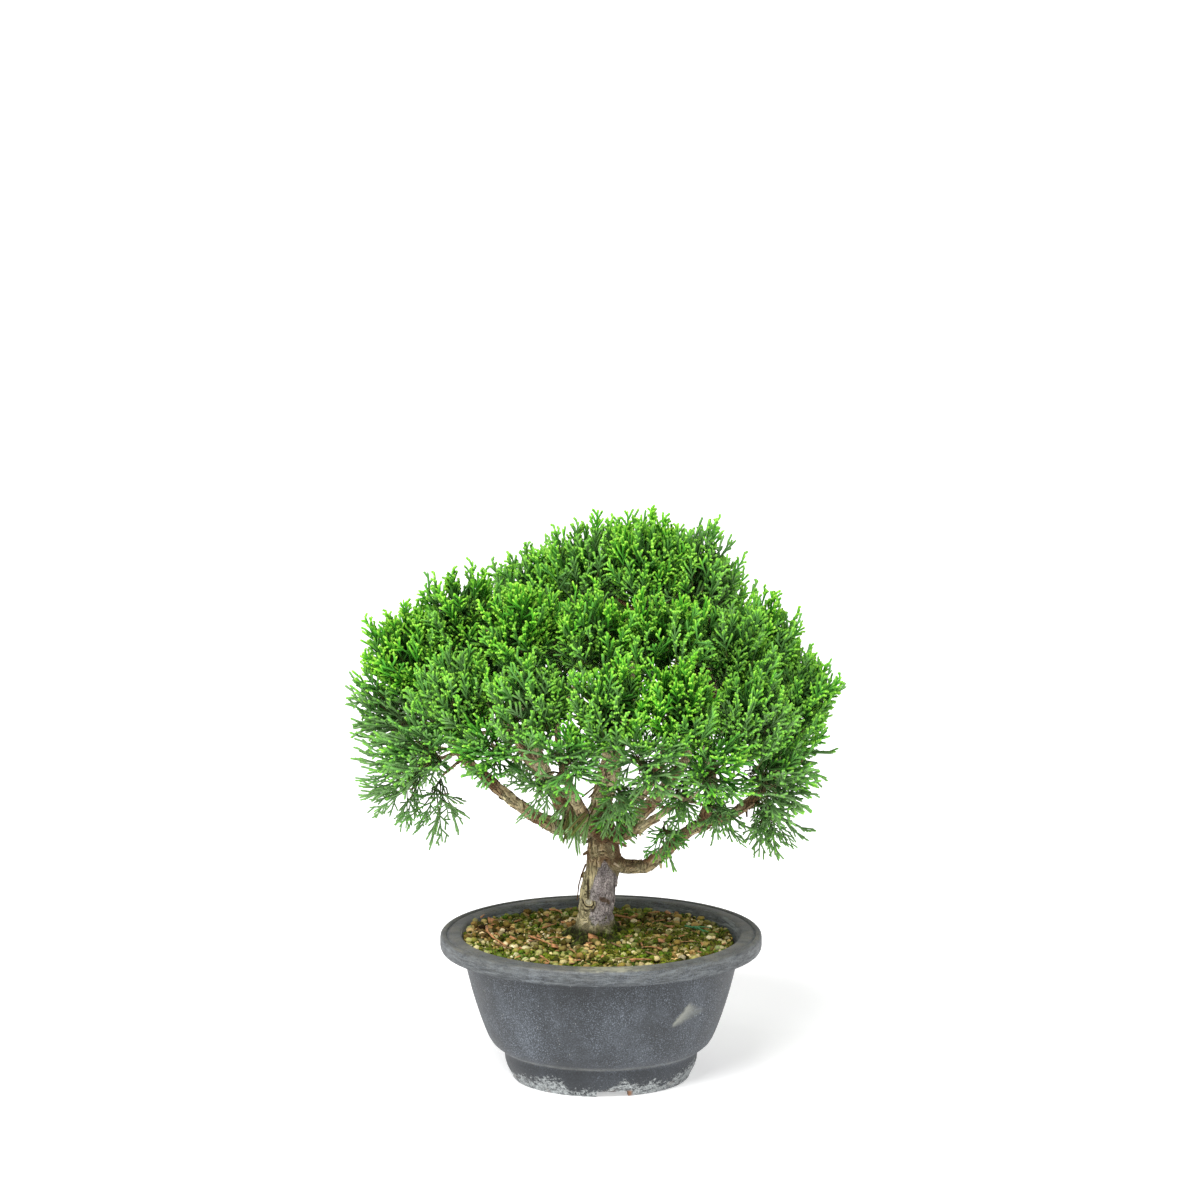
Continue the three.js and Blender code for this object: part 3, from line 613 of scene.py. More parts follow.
class BONSAI_OT_net(bpy.types.Operator):
    """Give the net over the drain hole its plastic"""

    bl_idname = "bonsai.net"
    bl_label = "Net over the drain hole"

    def execute(self, context):
        look = Look("net_plastic", roughness=0.5)
        fine = look.noise(look.place(), 600, 3)
        base = look.ramp(fine, [(0.3, (0.012, 0.014, 0.013)), (0.7, (0.035, 0.038, 0.036))])
        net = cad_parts["drain_mesh"]
        net.data.materials.clear()
        net.data.materials.append(look.finish(base, fine.between(0.3, 0.7, 0.42, 0.62), fine, 0.1 * MM))
        return {"FINISHED"}


# Soil and what lies on it

SOIL_SEED = 31
SOIL_TOP = 90 * MM  # higher than the soil anywhere
SOIL_LOW = 60 * MM  # lower than its surface, and higher than the bottom of the roots' hole
HEAP_START, HEAP_SPAN, HEAP_HEIGHT = 42 * MM, 24 * MM, 3.4 * MM  # of the loose soil at the left
HEAP_SHIFT = 0.75  # how far outwards heaped soil lies, against how high
BROAD_PATCHES, NARROW_PATCHES = 42, 140  # of moss, per metre
GRAIN_PATTERNS = 6
# Where each twig starts, its heading in degrees, length, radius, bend, height over the soil, and if green
LAID_TWIGS = [
    (7, 38, -38, 24, 0.66, -0.12, 3.5, 0), (-36, -8, -52, 18, 0.62, 0.10, 3.4, 0),
    (-57, 8, -88, 30, 0.72, 0.30, 3.2, 0), (-26, 50, -10, 9, 0.60, -0.5, 4.2, 0),
    (14, -52, 12, 12, 0.55, 0.2, 3.2, 0), (42, 17, -40, 15, 0.55, 0.1, 3.6, 1),
    (46, 13, 5, 9, 0.45, 0.1, 3.6, 1), (48, 12, -70, 7, 0.45, 0.1, 3.6, 1),
    (-60, 24, 75, 9, 0.5, 0.1, 3.6, 0),
]
ROOTS_LOW, ROOTS_HIGH = 70 * MM, 86 * MM
LAID_CHIPS = [(-4, -12, 5.0), (-54, 30, 5.5), (-23, -26, 3.6), (30, -14, 3.4)]


def on_soil(x, y):
    """The place of the soil under a point, or None where the wood stands."""
    hit, place, _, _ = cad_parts["soil"].ray_cast(Vector((x, y, SOIL_TOP)), Vector((0, 0, -1)))
    return place if hit and place.z > SOIL_LOW else None


def heaped(x):
    """How much higher the loose soil lies towards the left side of the pot."""
    share = min(1.0, max(0.0, (-x - HEAP_START) / HEAP_SPAN))
    return HEAP_HEIGHT * share * share * (3 - 2 * share)


def heap(ground, x, lift):
    """The place of something on the soil, lifted, and shifted outwards where the soil is heaped."""
    return ground + Vector((-HEAP_SHIFT * heaped(x), 0, lift))


def scattered(count, radius, seed):
    """Points spread evenly over a disc, each moved a little."""
    rng = random.Random(seed)
    for number in range(count):
        distance = radius * math.sqrt((number + 0.5) / count)
        angle = number * GOLDEN_ANGLE + rng.uniform(-0.04, 0.04)
        shift = radius / math.sqrt(count)
        x = distance * math.cos(angle) + rng.uniform(-0.6, 0.6) * shift
        y = distance * math.sin(angle) + rng.uniform(-0.6, 0.6) * shift
        if math.hypot(x, y) < radius:
            yield x, y, rng


def mossiness(x, y):
    """From 0, bare, to 1, under moss, in patches a few centimetres wide."""
    broad = noise.noise(Vector((x * BROAD_PATCHES, y * BROAD_PATCHES, 3.1)))
    narrow = noise.noise(Vector((x * NARROW_PATCHES, y * NARROW_PATCHES, 8.7)))
    return min(1.0, max(0.0, 0.5 + 0.75 * broad + 0.35 * narrow))


def soil_look(soil):
    """Dark earth with crumbs, painted darker for the shade in the gaps between the grains."""
    look = Look("earth", roughness=0.9, specular_ior_level=0.1)
    place = look.place()
    crumbs = look.noise(place, 420, 5, 0.7)
    tufts = look.noise(place, 90, 4)
    stops = [(0.3, scaled(soil.earth, 0.4)), (0.55, soil.earth), (0.8, scaled(soil.earth, 3))]
    base = look.ramp(crumbs, stops)
    base = look.mix(tufts.between(0.48, 0.6, 0, 0.6), base, scaled(soil.moss, 0.35))
    return look.finish(base, crumbs.between(0.2, 0.8, 0.8, 1.0), crumbs, 0.8 * MM)


def grain_look(soil):
    """Grains of fired clay, pumice and grit, each in its own shade, with green dust where moss is near."""
    look = Look("grit", roughness=0.85, specular_ior_level=0.12)
    kind, bright, green = look.attribute("grain")
    place = look.place()
    fine = look.noise(place, 800, 5, 0.75)
    base = look.ramp(
        kind,
        [
            (0.00, (0.020, 0.011, 0.004)), (0.22, (0.13, 0.062, 0.020)), (0.38, (0.42, 0.23, 0.080)),
            (0.52, (0.70, 0.46, 0.20)), (0.66, (0.32, 0.30, 0.12)), (0.82, (0.92, 0.68, 0.36)),
            (1.00, (1.00, 0.86, 0.58)),
        ],
    )
    shade = bright.between(0, 1, 0.20, 1.7) * fine.between(0.3, 0.7, 0.45, 1.35)
    base = look.lit(base, shade)
    dust = green * fine.between(0.38, 0.56)
    mossy = look.mix(look.noise(place, 70, 3).between(0.42, 0.58), soil.moss, (0.13, 0.30, 0.018))
    base = look.mix(dust * 0.9, base, mossy)
    return look.finish(base, fine.between(0.2, 0.8, 0.75, 0.95), fine, 0.5 * MM)


def moss_look(soil):
    """Moss from dark green to yellow-green."""
    look = Look("moss", roughness=0.8, specular_ior_level=0.12)
    age, tint, _ = look.attribute("moss")
    dark = look.ramp(age, [(0, (0.014, 0.022, 0.002)), (0.5, (0.06, 0.11, 0.008)), (1, (0.16, 0.38, 0.018))])
    fair_end = scaled(soil.moss, 1.5)
    fair = look.ramp(age, [(0, (0.030, 0.028, 0.006)), (0.5, (0.13, 0.13, 0.018)), (1, fair_end)])
    base = look.mix(tint, dark, fair)
    return look.finish(base, age.between(0, 1, 0.9, 0.7))


def dry_look(soil):
    """Dry orange-brown twigs."""
    look = Look("dry_twig", roughness=0.75)
    _, tint, green = look.attribute("twig")
    fine = look.noise(look.place(), 700, 4, 0.7)
    base = look.ramp(fine, [(0.3, scaled(soil.dry, 0.35)), (0.55, soil.dry), (0.75, scaled(soil.dry, 1.5))])
    base = look.mix(tint.between(0.45, 1.0, 0, 0.85), base, (0.17, 0.115, 0.055))
    base = look.mix(green, base, (0.10, 0.34, 0.14))
    return look.finish(base, fine.between(0.2, 0.8, 0.6, 0.85), fine, 0.2 * MM)


class BONSAI_OT_soil(bpy.types.Operator):
    """Fill the pot: earth, loose grains, moss and fallen twigs"""

    bl_idname = "bonsai.soil"
    bl_label = "Soil"

    def execute(self, context):
        soil = context.scene.bonsai_soil
        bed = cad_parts["soil"]
        bed.data.materials.clear()
        bed.data.materials.append(soil_look(soil))
        self.add_grains(soil)
        self.add_moss(soil)
        self.add_twigs(soil)
        return {"FINISHED"}

    def add_grains(self, soil):
        """Loose grains, from a few angular patterns."""
        patterns = []
        for number in range(GRAIN_PATTERNS):
            grain = added(bpy.ops.mesh.primitive_ico_sphere_add, subdivisions=1, radius=0.5)
            patterns.append(Pattern.of(roughened(grain, 0.12, SOIL_SEED + number)))
        copies = []
        for x, y, rng in scattered(soil.grain_count, soil.radius, SOIL_SEED):
            ground = on_soil(x, y)
            size = soil.grain_size * min(1.95, rng.lognormvariate(0, 0.44))
            kind, bright, lift = rng.random(), rng.random(), rng.uniform(-0.15, 0.55)
            angle = rng.uniform(0, 2 * math.pi)
            turn = Matrix.Rotation(angle, 4, Vector((rng.random(), rng.random(), rng.random())))
            sides = rng.uniform(0.75, 1.15), rng.uniform(0.8, 1.2), rng.uniform(0.6, 0.9)
            pattern = rng.choice(patterns)
            if ground is None:
                continue
            shade = (kind ** 1.5, bright, mossiness(x, y) * rng.uniform(0.5, 1.6), 1)
            for raised in (0.0, 0.5, 1.0) if heaped(x) > MM else (1.0,):
                place = heap(ground, x, lift * size + heaped(x) * raised)
                stretched_grain = Matrix.Diagonal((*sides, 1)) @ turn @ Matrix.Scale(size, 4)
                copies.append(pattern.copy_at(Matrix.Translation(place) @ stretched_grain, shade))
        finished(Pattern.joined(copies).piece("soil_grains", "grain"), grain_look(soil), "soil")

    def add_moss(self, soil):
        """Moss: small tufts of pointed leaves, thick where the patches are."""
        cone = bpy.ops.mesh.primitive_cone_add
        leaf = added(cone, vertices=3, radius1=0.16, radius2=0, depth=1, location=(0, 0, 0.5))
        leaf = Pattern.of(settle(leaf, "leaf"))
        rng = random.Random(SOIL_SEED)
        leaves = []
        for number in range(6):
            angle = number * GOLDEN_ANGLE
            lean = Vector((math.cos(angle), math.sin(angle), 1.6 - 0.2 * number))
            base = Vector((0.25 * math.cos(angle), 0.25 * math.sin(angle), 0))
            leaves.append(leaf.copy_at(frame_for(base, lean, (0, 0, 1), 1, rng.uniform(0.8, 1.3))))
        cushion = Pattern.joined(leaves)
        heights = cushion.points[:, 2]
        shades = cushion.colours.copy()
        shades[:, 0] = (heights - heights.min()) / np.ptp(heights)
        copies = []
        for x, y, rng in scattered(soil.moss_count, soil.radius, SOIL_SEED + 1):
            ground = on_soil(x, y)
            tint, size, turn = rng.random(), rng.uniform(1.0, 2.1) * MM, rng.uniform(0, 2 * math.pi)
            lift, wanted = rng.uniform(0.1, 1.2) * MM, rng.random()
            if ground is None or mossiness(x, y) < 0.25 + 0.6 * wanted:
                continue
            matrix = Matrix.Translation(heap(ground, x, lift + heaped(x))) @ Matrix.Rotation(turn, 4, "Z")
            shades[:, 1] = tint
            copies.append(cushion.copy_at(matrix @ Matrix.Scale(size, 4), shades))
        rng = random.Random(SOIL_SEED + 4)
        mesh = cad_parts["wood"].data
        roots = [face for face in mesh.polygons if ROOTS_LOW < face.center.z < ROOTS_HIGH]
        roots = [face for face in roots if face.normal.z > -0.3]
        for face in rng.choices(roots, [face.area for face in roots], k=soil.root_moss):
            first, second, third = (mesh.vertices[number].co for number in face.vertices[:3])
            one, other = sorted((rng.random(), rng.random()))
            place = first * one + second * (other - one) + third * (1 - other)
            shades[:, 1], size = rng.random(), rng.uniform(0.7, 1.5) * MM
            if place.z < ROOTS_LOW + (ROOTS_HIGH - ROOTS_LOW) * rng.random() and place.x > -7 * MM:
                way = face.normal + Vector((0, 0, 0.7))
                copies.append(cushion.copy_at(frame_for(place, way, (1, 0, 0.01), size, size), shades))
        finished(Pattern.joined(copies).piece("soil_moss", "moss"), moss_look(soil), "soil")

    def add_twigs(self, soil):
        """Fallen twigs and chips that lie on the grains, and one green sprig."""
        cylinder = bpy.ops.mesh.primitive_cylinder_add
        rod = added(cylinder, vertices=5, radius=1, depth=1, location=(0, 0, 0.5))
        rod = Pattern.of(settle(rod, "rod"))
        chip = roughened(added(bpy.ops.mesh.primitive_cube_add, size=1), 0.13, SOIL_SEED)
        chip.scale = (0.3, 1, 1)
        chip = Pattern.of(settle(chip, "chip"))
        copies = []
        for x, y, degrees, whole, width, bend, lift, green in LAID_TWIGS:
            place = on_soil(x * MM, y * MM) + Vector((0, 0, lift * MM + heaped(x * MM)))
            heading, whole, width = math.radians(degrees), whole * MM, width * MM
            copies += self.bent_rod(rod, place, heading, 0.0, whole, width, bend, (0.2, green))
        for x, y, rng in scattered(soil.twig_count, soil.radius - 5 * MM, SOIL_SEED + 2):
            heading, tint = rng.uniform(0, 2 * math.pi), rng.random()
            whole, width = rng.uniform(5, 13) * MM, rng.uniform(0.28, 0.55) * MM
            lift, tilt = rng.uniform(2.2, 3.3) * MM, rng.uniform(-0.10, 0.25)
            bend = rng.uniform(-0.35, 0.35)
            ground = on_soil(x, y)
            if ground is not None:
                place = ground + Vector((0, 0, lift + heaped(x)))
                copies += self.bent_rod(rod, place, heading, tilt, whole, width, bend, (tint, 0))
        for x, y, rng in scattered(soil.chip_count, soil.radius - 2 * MM, SOIL_SEED + 3):
            heading, tint, size = rng.uniform(0, 2 * math.pi), rng.random(), rng.uniform(1.6, 3.6) * MM
            lift, tilt = rng.uniform(1.2, 2.2) * MM, rng.uniform(-0.5, 0.5)
            ground = on_soil(x, y)
            if ground is not None:
                along = (math.cos(heading), math.sin(heading), tilt)
                up = (rng.uniform(-0.6, 0.6), rng.uniform(-0.6, 0.6), 1)
                matrix = frame_for(ground + Vector((0, 0, lift + heaped(x))), along, up, size * 0.6, size)
                copies.append(chip.copy_at(matrix, (0, tint * 0.7, 0, 1)))
        for x, y, size in LAID_CHIPS:
            place = on_soil(x * MM, y * MM) + Vector((0, 0, 3.0 * MM))
            matrix = frame_for(place, (0.9, 0.3, -0.3), (0.1, -0.5, 1), size * 0.65 * MM, size * MM)
            copies.append(chip.copy_at(matrix, (0, 0.3, 0, 1)))
        finished(Pattern.joined(copies).piece("fallen_twigs", "twig"), dry_look(soil), "soil")

    def bent_rod(self, rod, place, heading, tilt, whole, width, bend, shades):
        """A thin rod bent at two places."""
        copies = []
        for step in range(3):
            along = Vector((math.cos(heading), math.sin(heading), tilt - 0.10 * step))
            matrix = frame_for(place, along, (0, 0, 1), width * (1 - 0.2 * step), whole / 3 * 1.06)
            copies.append(rod.copy_at(matrix, (0, *shades, 1)))
            place = place + along.normalized() * whole / 3
            heading += bend
        return copies


# Wood

BARK_SEED = 5
BARK_FOOT = 82 * MM  # loose flakes start above the roots
STOUT = 9 * MM  # wood this thick takes the whole relief
LEAST_RELIEF = 0.15  # the share of it that thin wood takes
RUN_ROUNDS = 14  # how often the way the wood runs is evened out with that of its neighbours
FLAKED = 3.5 * MM  # thinner wood carries no flakes
DRAWN_TOGETHER = 0.84  # how much of the way along the wood is taken out of the bark's pattern
SCAR_X, SCAR_Z = 1.8 * MM, 92.2 * MM
KNOT_X, KNOT_Z = -6.3 * MM, 90.5 * MM
RINGS_PER_METRE = 4200.0  # of the knot, in radians
LOOSE_STRIPS = [  # bark that hangs loose at the left of the trunk, as start, end and radius in millimetres
    ((-7.6, -3, 109), (-9.9, -3.4, 103), 0.5), ((-9.6, -3.4, 104), (-11.2, -3.6, 98), 0.42),
    ((-11.0, -3.6, 99), (-12.0, -3.4, 90), 0.36), ((-9.4, -2.0, 104), (-11.6, -1.2, 96), 0.36),
]


def runs_of(mesh, rounds):
    """The way the wood runs at every point of its surface: the one in which the surface turns least."""
    count = len(mesh.vertices)
    normals = np.empty(count * 3, np.float32)
    mesh.vertices.foreach_get("normal", normals)
    normals = normals.reshape(-1, 3)
    ends = np.empty(len(mesh.edges) * 2, np.int32)
    mesh.edges.foreach_get("vertices", ends)
    ends = np.concatenate([ends.reshape(-1, 2), ends.reshape(-1, 2)[:, ::-1]])
    degree = np.bincount(ends[:, 0], minlength=count) + 1
    turns = (normals[:, :, None] * normals[:, None, :]).reshape(-1, 9)
    for _ in range(rounds):
        beside = [np.bincount(ends[:, 0], turns[ends[:, 1], part], count) for part in range(9)]
        turns = (turns + np.stack(beside, 1)) / degree[:, None]
    return np.linalg.eigh(turns.reshape(-1, 3, 3))[1][:, :, 0]


def stretched(points, runs):
    """Places for the bark's pattern: the points, drawn together along the wood so that it runs that way."""
    along = (points * runs).sum(1)[:, None] * runs
    return np.hstack([points - DRAWN_TOGETHER * along + 0.5, np.ones((len(points), 1))])


def wood_look(wood):
    """Brown bark that peels in strips, olive-tan and purple-grey on the trunk."""
    look = Look("bark", roughness=0.85, specular_ior_level=0.2)
    place = look.place()
    x, y, z = look.parts(place)
    run = look.amount("Attribute", "Vector", attribute_name="bark_place")
    strips = look.noise(run, 430, 8, 0.74, 0.4)
    plates = look.noise(run, 150, 5, 0.65, 0.7)
    broad = look.noise(place, 60, 4, 0.6)
    fine = look.noise(place, 1500, 4, 0.75)
    cracks = abs(plates - 0.5).between(0.004, 0.022)
    brown = look.ramp(strips, [
        (0.33, scaled(wood.bark, 0.30)), (0.46, wood.bark), (0.56, scaled(wood.bark, 1.9)), (0.70, wood.pale),
    ])
    olive = look.ramp(strips, [
        (0.34, scaled(wood.olive, 0.20)), (0.44, scaled(wood.olive, 0.85)),
        (0.55, scaled(wood.olive, 1.7)), (0.65, scaled(wood.pale, 1.25)),
    ])
    limb = look.mix(broad.between(0.42, 0.60), brown, olive)

    # The bare patch runs up the front of the trunk, with a brown scar on it.
    edge = (broad - 0.5) * (12 * MM)
    wander = edge * 0.5 + (plates - 0.5) * (6 * MM)
    smooth = look.ramp(fine * 0.5 + strips * 0.5, [
        (0.40, scaled(wood.smooth, 0.22)), (0.49, scaled(wood.smooth, 0.85)),
        (0.56, scaled(wood.smooth, 1.6)), (0.63, scaled(wood.smooth, 2.6)),
    ])
    patches = look.noise(place, 170, 3, 0.6)
    smooth = look.mix(patches.between(0.52, 0.64, 0, 0.7), smooth, scaled(wood.smooth, 0.35))
    # Painted highlight: whitish towards the lower left of the bare patch, the side the light comes from.
    painted_highlight = x.between(1 * MM, -5 * MM) * z.between(104 * MM, 84 * MM, 0.3, 0.8)
    smooth = look.mix(painted_highlight * fine.between(0.42, 0.6), smooth, (0.52, 0.48, 0.45))
    scar_high = z + x * 0.3 - (wander + SCAR_Z)
    scar = abs(scar_high).between(1.7 * MM, 0.9 * MM) * abs(x - SCAR_X).between(3.2 * MM, 2.2 * MM)
    smooth = look.mix(scar * 0.85, smooth, (0.10, 0.055, 0.025))
    high = look.arithmetic("MAXIMUM", (z - 99 * MM) * 0.45, 0.0)
    from_left = x + wander + 5.0 * MM - high
    bare = from_left.between(-0.3 * MM, 0.4 * MM) * y.between(2 * MM, -1 * MM)
    from_right = x + wander + high * 1.5
    bare = bare * from_right.between(11.0 * MM, 9.8 * MM)
    bare = bare * (z + wander).between(79 * MM, 81 * MM)
    bare = bare * (z + edge).between(113 * MM, 109 * MM)
    low = (z + edge * 0.6).between(112 * MM, 100 * MM)
    wall = look.mix(low, limb, olive)
    wall = look.mix(cracks.between(0, 1, 0.8, 0.0), wall, (0.022, 0.013, 0.006))
    base = look.mix(bare, wall, smooth)

    # A small knot left of the patch, with rings below it and a groove above it.
    across, above = x - KNOT_X, z - KNOT_Z
    away = look.distance(across, above)
    away = away + (look.noise(place, 300, 3) - 0.5) * (2.6 * MM)
    rings = look.arithmetic("SINE", away * RINGS_PER_METRE)
    ringed = look.ramp(rings.between(-1, 1), [(0.30, (0.05, 0.034, 0.018)), (0.62, scaled(wood.olive, 1.2))])
    ringed = look.mix(away.between(1.5 * MM, 1.1 * MM), ringed, (0.74, 0.68, 0.50))
    knot = away.between(5.0 * MM, 3.0 * MM, 0, 1) * y.between(-1 * MM, -3 * MM)
    knot = knot * above.between(1.6 * MM, 0.6 * MM)
    base = look.mix(knot, base, ringed)
    line = abs(across + wander * 0.25).between(0.8 * MM, 0.4 * MM)
    line = line * (above.between(1 * MM, 2 * MM) * above.between(13 * MM, 11 * MM))
    base = look.mix(line * y.between(0.0, -2 * MM, 0, 0.85), base, (0.035, 0.022, 0.012))

    # Dark wet moss on the roots.
    foot = (z + edge).between(82 * MM, 76 * MM)
    mossy = look.ramp(look.noise(place, 500, 5, 0.7), [
        (0.35, (0.010, 0.010, 0.003)), (0.50, (0.045, 0.045, 0.012)),
        (0.60, (0.10, 0.15, 0.014)), (0.72, (0.30, 0.27, 0.14)),
    ])
    base = look.mix(foot, base, mossy)
    base = look.mix(fine.between(0.48, 0.30, 0, 0.6), base, scaled(wood.bark, 0.3))
    relief = (strips + fine * 0.35 + cracks * 0.5) * bare.between(0, 1, 1.0, 0.35) + knot * 1.2
    return look.finish(base, strips.between(0.3, 0.7, 0.95, 0.75), relief, 1.1 * MM)


def strip_look(wood):
    """Dark weathered bark that hangs loose."""
    look = Look("loose_bark", roughness=0.85, specular_ior_level=0.2)
    fine = look.noise(look.place(), 900, 4, 0.7)
    base = look.ramp(fine, [(0.35, scaled(wood.bark, 0.25)), (0.65, scaled(wood.bark, 0.9))])
    return look.finish(base, fine.between(0.2, 0.8, 0.8, 0.95), fine, 0.2 * MM)


class BONSAI_OT_wood(bpy.types.Operator):
    """Redraw roots, trunk, limbs and branches with fine faces, rough bark, loose flakes and stubs"""

    bl_idname = "bonsai.wood"
    bl_label = "Wood"

    def execute(self, context):
        wood = context.scene.bonsai_wood
        tree = bpy.data.objects.new("tree_wood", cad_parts["wood"].data.copy())
        context.collection.objects.link(tree)
        edit(tree)
        bpy.ops.mesh.remove_doubles(threshold=0.01 * MM)
        done()
        apply_modifier(tree, "REMESH", mode="VOXEL", voxel_size=wood.fineness, adaptivity=0.0)
        apply_modifier(tree, "SMOOTH", factor=0.5, iterations=3)
        runs = runs_of(tree.data, RUN_ROUNDS)
        thickness = self.thickness(tree)
        stout = tree.vertex_groups.new(name="stout")
        for number, thick in enumerate(thickness):
            stout.add([number], min(1.0, max(LEAST_RELIEF, float(thick) / STOUT)), "REPLACE")
        for lump, share in ((7.5 * MM, 1.0), (2.6 * MM, 0.5)):
            texture = bpy.data.textures.new("bark_relief", "CLOUDS")
            texture.noise_scale = lump
            apply_modifier(
                tree, "DISPLACE", texture=texture, texture_coords="LOCAL", vertex_group="stout",
                strength=share * wood.relief, mid_level=0.5,
            )
        places = stretched(points_of(tree.data), runs)
        hold(tree.data, "bark_place", places)
        pick(tree)
        bpy.ops.object.shade_smooth()
        settle(tree, "tree_wood")
        look = wood_look(wood)
        finished(tree, look, "bark", "wood")
        flakes = self.flakes(tree, runs, thickness, places, wood).piece("bark_flakes", "bark_place")
        finished(flakes, look, "bark")
        return {"FINISHED"}

    def thickness(self, tree):
        """How thick the wood is under every point of its surface."""
        inside = 0.3 * MM
        thick = []
        for vertex in tree.data.vertices:
            start = vertex.co - vertex.normal * inside
            hit, place, _, _ = tree.ray_cast(start, -vertex.normal)
            thick.append((place - start).length + inside if hit else 0.0)
        return np.array(thick)

    def flakes(self, tree, runs, thickness, places, wood):
        """Flakes of bark along trunk and limbs, and stubs of lost twigs. Adds the loose strips as a piece."""
        flake = added(bpy.ops.mesh.primitive_cube_add, size=1)
        flake.scale = (0.16, 1, 1)
        edit(settle(flake, "flake"))
        bpy.ops.mesh.subdivide(number_cuts=1)
        done()
        plate = Pattern.of(roughened(flake, 0.13, BARK_SEED))
        plate.points[:, 0] += 0.25 * (plate.points[:, 2] + 0.5) ** 2
        stub = shoot_pattern(5, [(1.15, -0.3), (1.0, 0.2), (0.8, 0.85), (0, 1)])
        points, normals = points_of(tree.data), np.array([vertex.normal[:] for vertex in tree.data.vertices])
        rng = random.Random(BARK_SEED)
        stout = [int(number) for number in np.flatnonzero((thickness > FLAKED) & (points[:, 2] > BARK_FOOT))]
        copies = []
        for number in rng.sample(stout, wood.flake_count):
            shade = places[rng.choice(stout)]
            run, normal = Vector(runs[number]), Vector(normals[number])
            run = run if rng.random() < 0.5 else -run
            width = rng.uniform(0.7, 1.7) * MM
            matrix = frame_for(points[number], run, normal, width, rng.uniform(1.8, 5.2) * MM)
            copies.append(plate.copy_at(matrix, shade))
        strips = []
        for start, end, radius in LOOSE_STRIPS:
            start, end = Vector(start) * MM, Vector(end) * MM
            matrix = frame_for(start, end - start, (0, 1, 0.01), radius * MM, (end - start).length)
            strips.append(stub.copy_at(matrix, places[stout[0]]))
        finished(Pattern.joined(strips).piece("loose_strips", "bark_place"), strip_look(wood), "bark")
        for number in rng.sample(stout, wood.stub_count):
            way = Vector(normals[number]) + Vector(runs[number]) * rng.uniform(-0.7, 0.7)
            radius, whole = rng.uniform(0.5, 0.95) * MM, rng.uniform(1.4, 4.0) * MM
            matrix = frame_for(points[number], way, (0, 0, 1), radius, whole)
            copies.append(stub.copy_at(matrix, places[rng.choice(stout)]))
        return Pattern.joined(copies)


# Foliage

FOLIAGE_SEED = 7
CROWN_HEART = Vector((0, 0, 150 * MM))
TIP_ANGLE = 1.6  # the faces round the point of a shoot add up to less than this, in radians
PULLED_IN = 1.5 * MM  # how far inside its tuft's own tips a sprig ends
CUT_BACK = [  # where sprigs are short, as a centre and a radius in millimetres
    # Dark hollows between the clumps at the front
    (-60, -26, 248, 14), (0, -66, 228, 12), (-11, -68, 225, 9), (48, -74, 211, 10), (3, -84, 210, 11),
    (48, -48, 238, 9), (30, -62, 229, 9), (-25, -62, 229, 8), (79, -58, 207, 8), (8, -20, 267, 7),
    (-8, -48, 240, 8), (-46, -50, 235, 8), (60, -46, 235, 8),
    # Steps in the outline
    (68, -6, 275, 9), (122, -10, 187, 9), (95, -5, 244, 7), (-120, -12, 228, 7), (113, -5, 163, 10),
    (64, -20, 127, 7), (122, -25, 195, 10), (122, 6, 198, 11), (120, -28, 176, 10), (119, 8, 177, 10),
    (115, -18, 150, 9), (112, 8, 150, 9), (110, -6, 137, 8), (66, 4, 269, 8), (66, 18, 274, 9),
    (73, -16, 265, 8), (92, -18, 241, 7), (94, 12, 244, 8), (-119, 4, 231, 7), (-121, -26, 222, 6),
    (104, 8, 228, 6),
]
MORE_TIPS = {  # shoots that stand out of their tuft, as the places of their tips
    "foliage_left_edge": [(-124, -14, 201), (-123, -22, 196), (-123, -6, 206), (-121, -18, 210)],
    "foliage_hanging_left": [
        (-121, -26, 174), (-121, -20, 167), (-119, -36, 180), (-121, -30, 160), (-119, -18, 154),
        (-121, -12, 178), (-117, -40, 168), (-114, -24, 147), (-118, -8, 148), (-112, -34, 153),
    ],
    "foliage_hanging_left_inner": [
        (-66, -30, 140), (-70, -34, 132), (-77, -32, 127), (-67, -26, 147), (-84, -36, 125),
    ],
    "foliage_hanging_right": [
        (74, -28, 122), (80, -30, 117), (88, -28, 116), (96, -26, 124), (78, -32, 131), (84, -36, 121),
        (70, -30, 131),
    ],
}
FORK_SHOOTS = [  # long bare shoots before the fork, each as x and z of its foot and of its end
    (-17, 137, -19, 119), (-19, 138, -27, 127), (-11, 133, -6, 112), (-13, 138, -15, 122),
    (-5, 137, -13, 124), (-8, 140, -17, 131), (2, 138, -8, 128), (8, 137, 1, 118), (14, 136, 22, 121),
    (4, 142, 14, 130), (-16, 141, -24, 136), (-2, 132, 4, 118), (12, 142, 24, 138), (-9, 133, -14, 121),
    (6, 130, 12, 116), (-20, 134, -17, 121), (-4, 146, -12, 140), (10, 131, 20, 127),
]
FORK_ROUNDS = 5  # how many shoots are tried at each of these places
FORK_BACK = 12 * MM  # wood farther back than this carries none
BRANCH_END = 15 * MM  # the last part of a branch, which its sprigs grow from
VARIANTS = 5  # sprigs drawn of each kind and length
CUT_SHARE = 0.55  # how far a short sprig reaches
# Painted shade inside each tuft: darkest to DARK_TO of its reach, and fully lit DARK_SPAN farther out.
DARK_TO, DARK_SPAN = 0.37, 0.5  # a tuft is darkest to here, and lit after this much more of its reach


@dataclass
class Habit:
    """How the sprigs of one kind of tuft grow."""

    kinds: tuple  # the kinds of sprig, drawn from by lot
    sprigs: int  # how many grow from the branch
    inner: int  # how many plain ones fill the inside
    lengths: tuple
    outward: float  # how strongly a sprig points away from the branch
    up: float  # how strongly it points up
    least_way: float  # how far back round the branch sprigs may grow
    ragged: float  # the least share of the reach that a sprig keeps
    tints: tuple  # from blue-green to fresh green
    ages: tuple  # from old wood to growing tips
    twigs: tuple  # how old the twigs that carry the sprigs look
    # lit: where the painted shade inside a tuft stops, from 0, darkest, to 1, no painted shade.
    lit: float  # the least light inside
    valley: float = 0.0  # how much shorter sprigs are at the tuft's sides


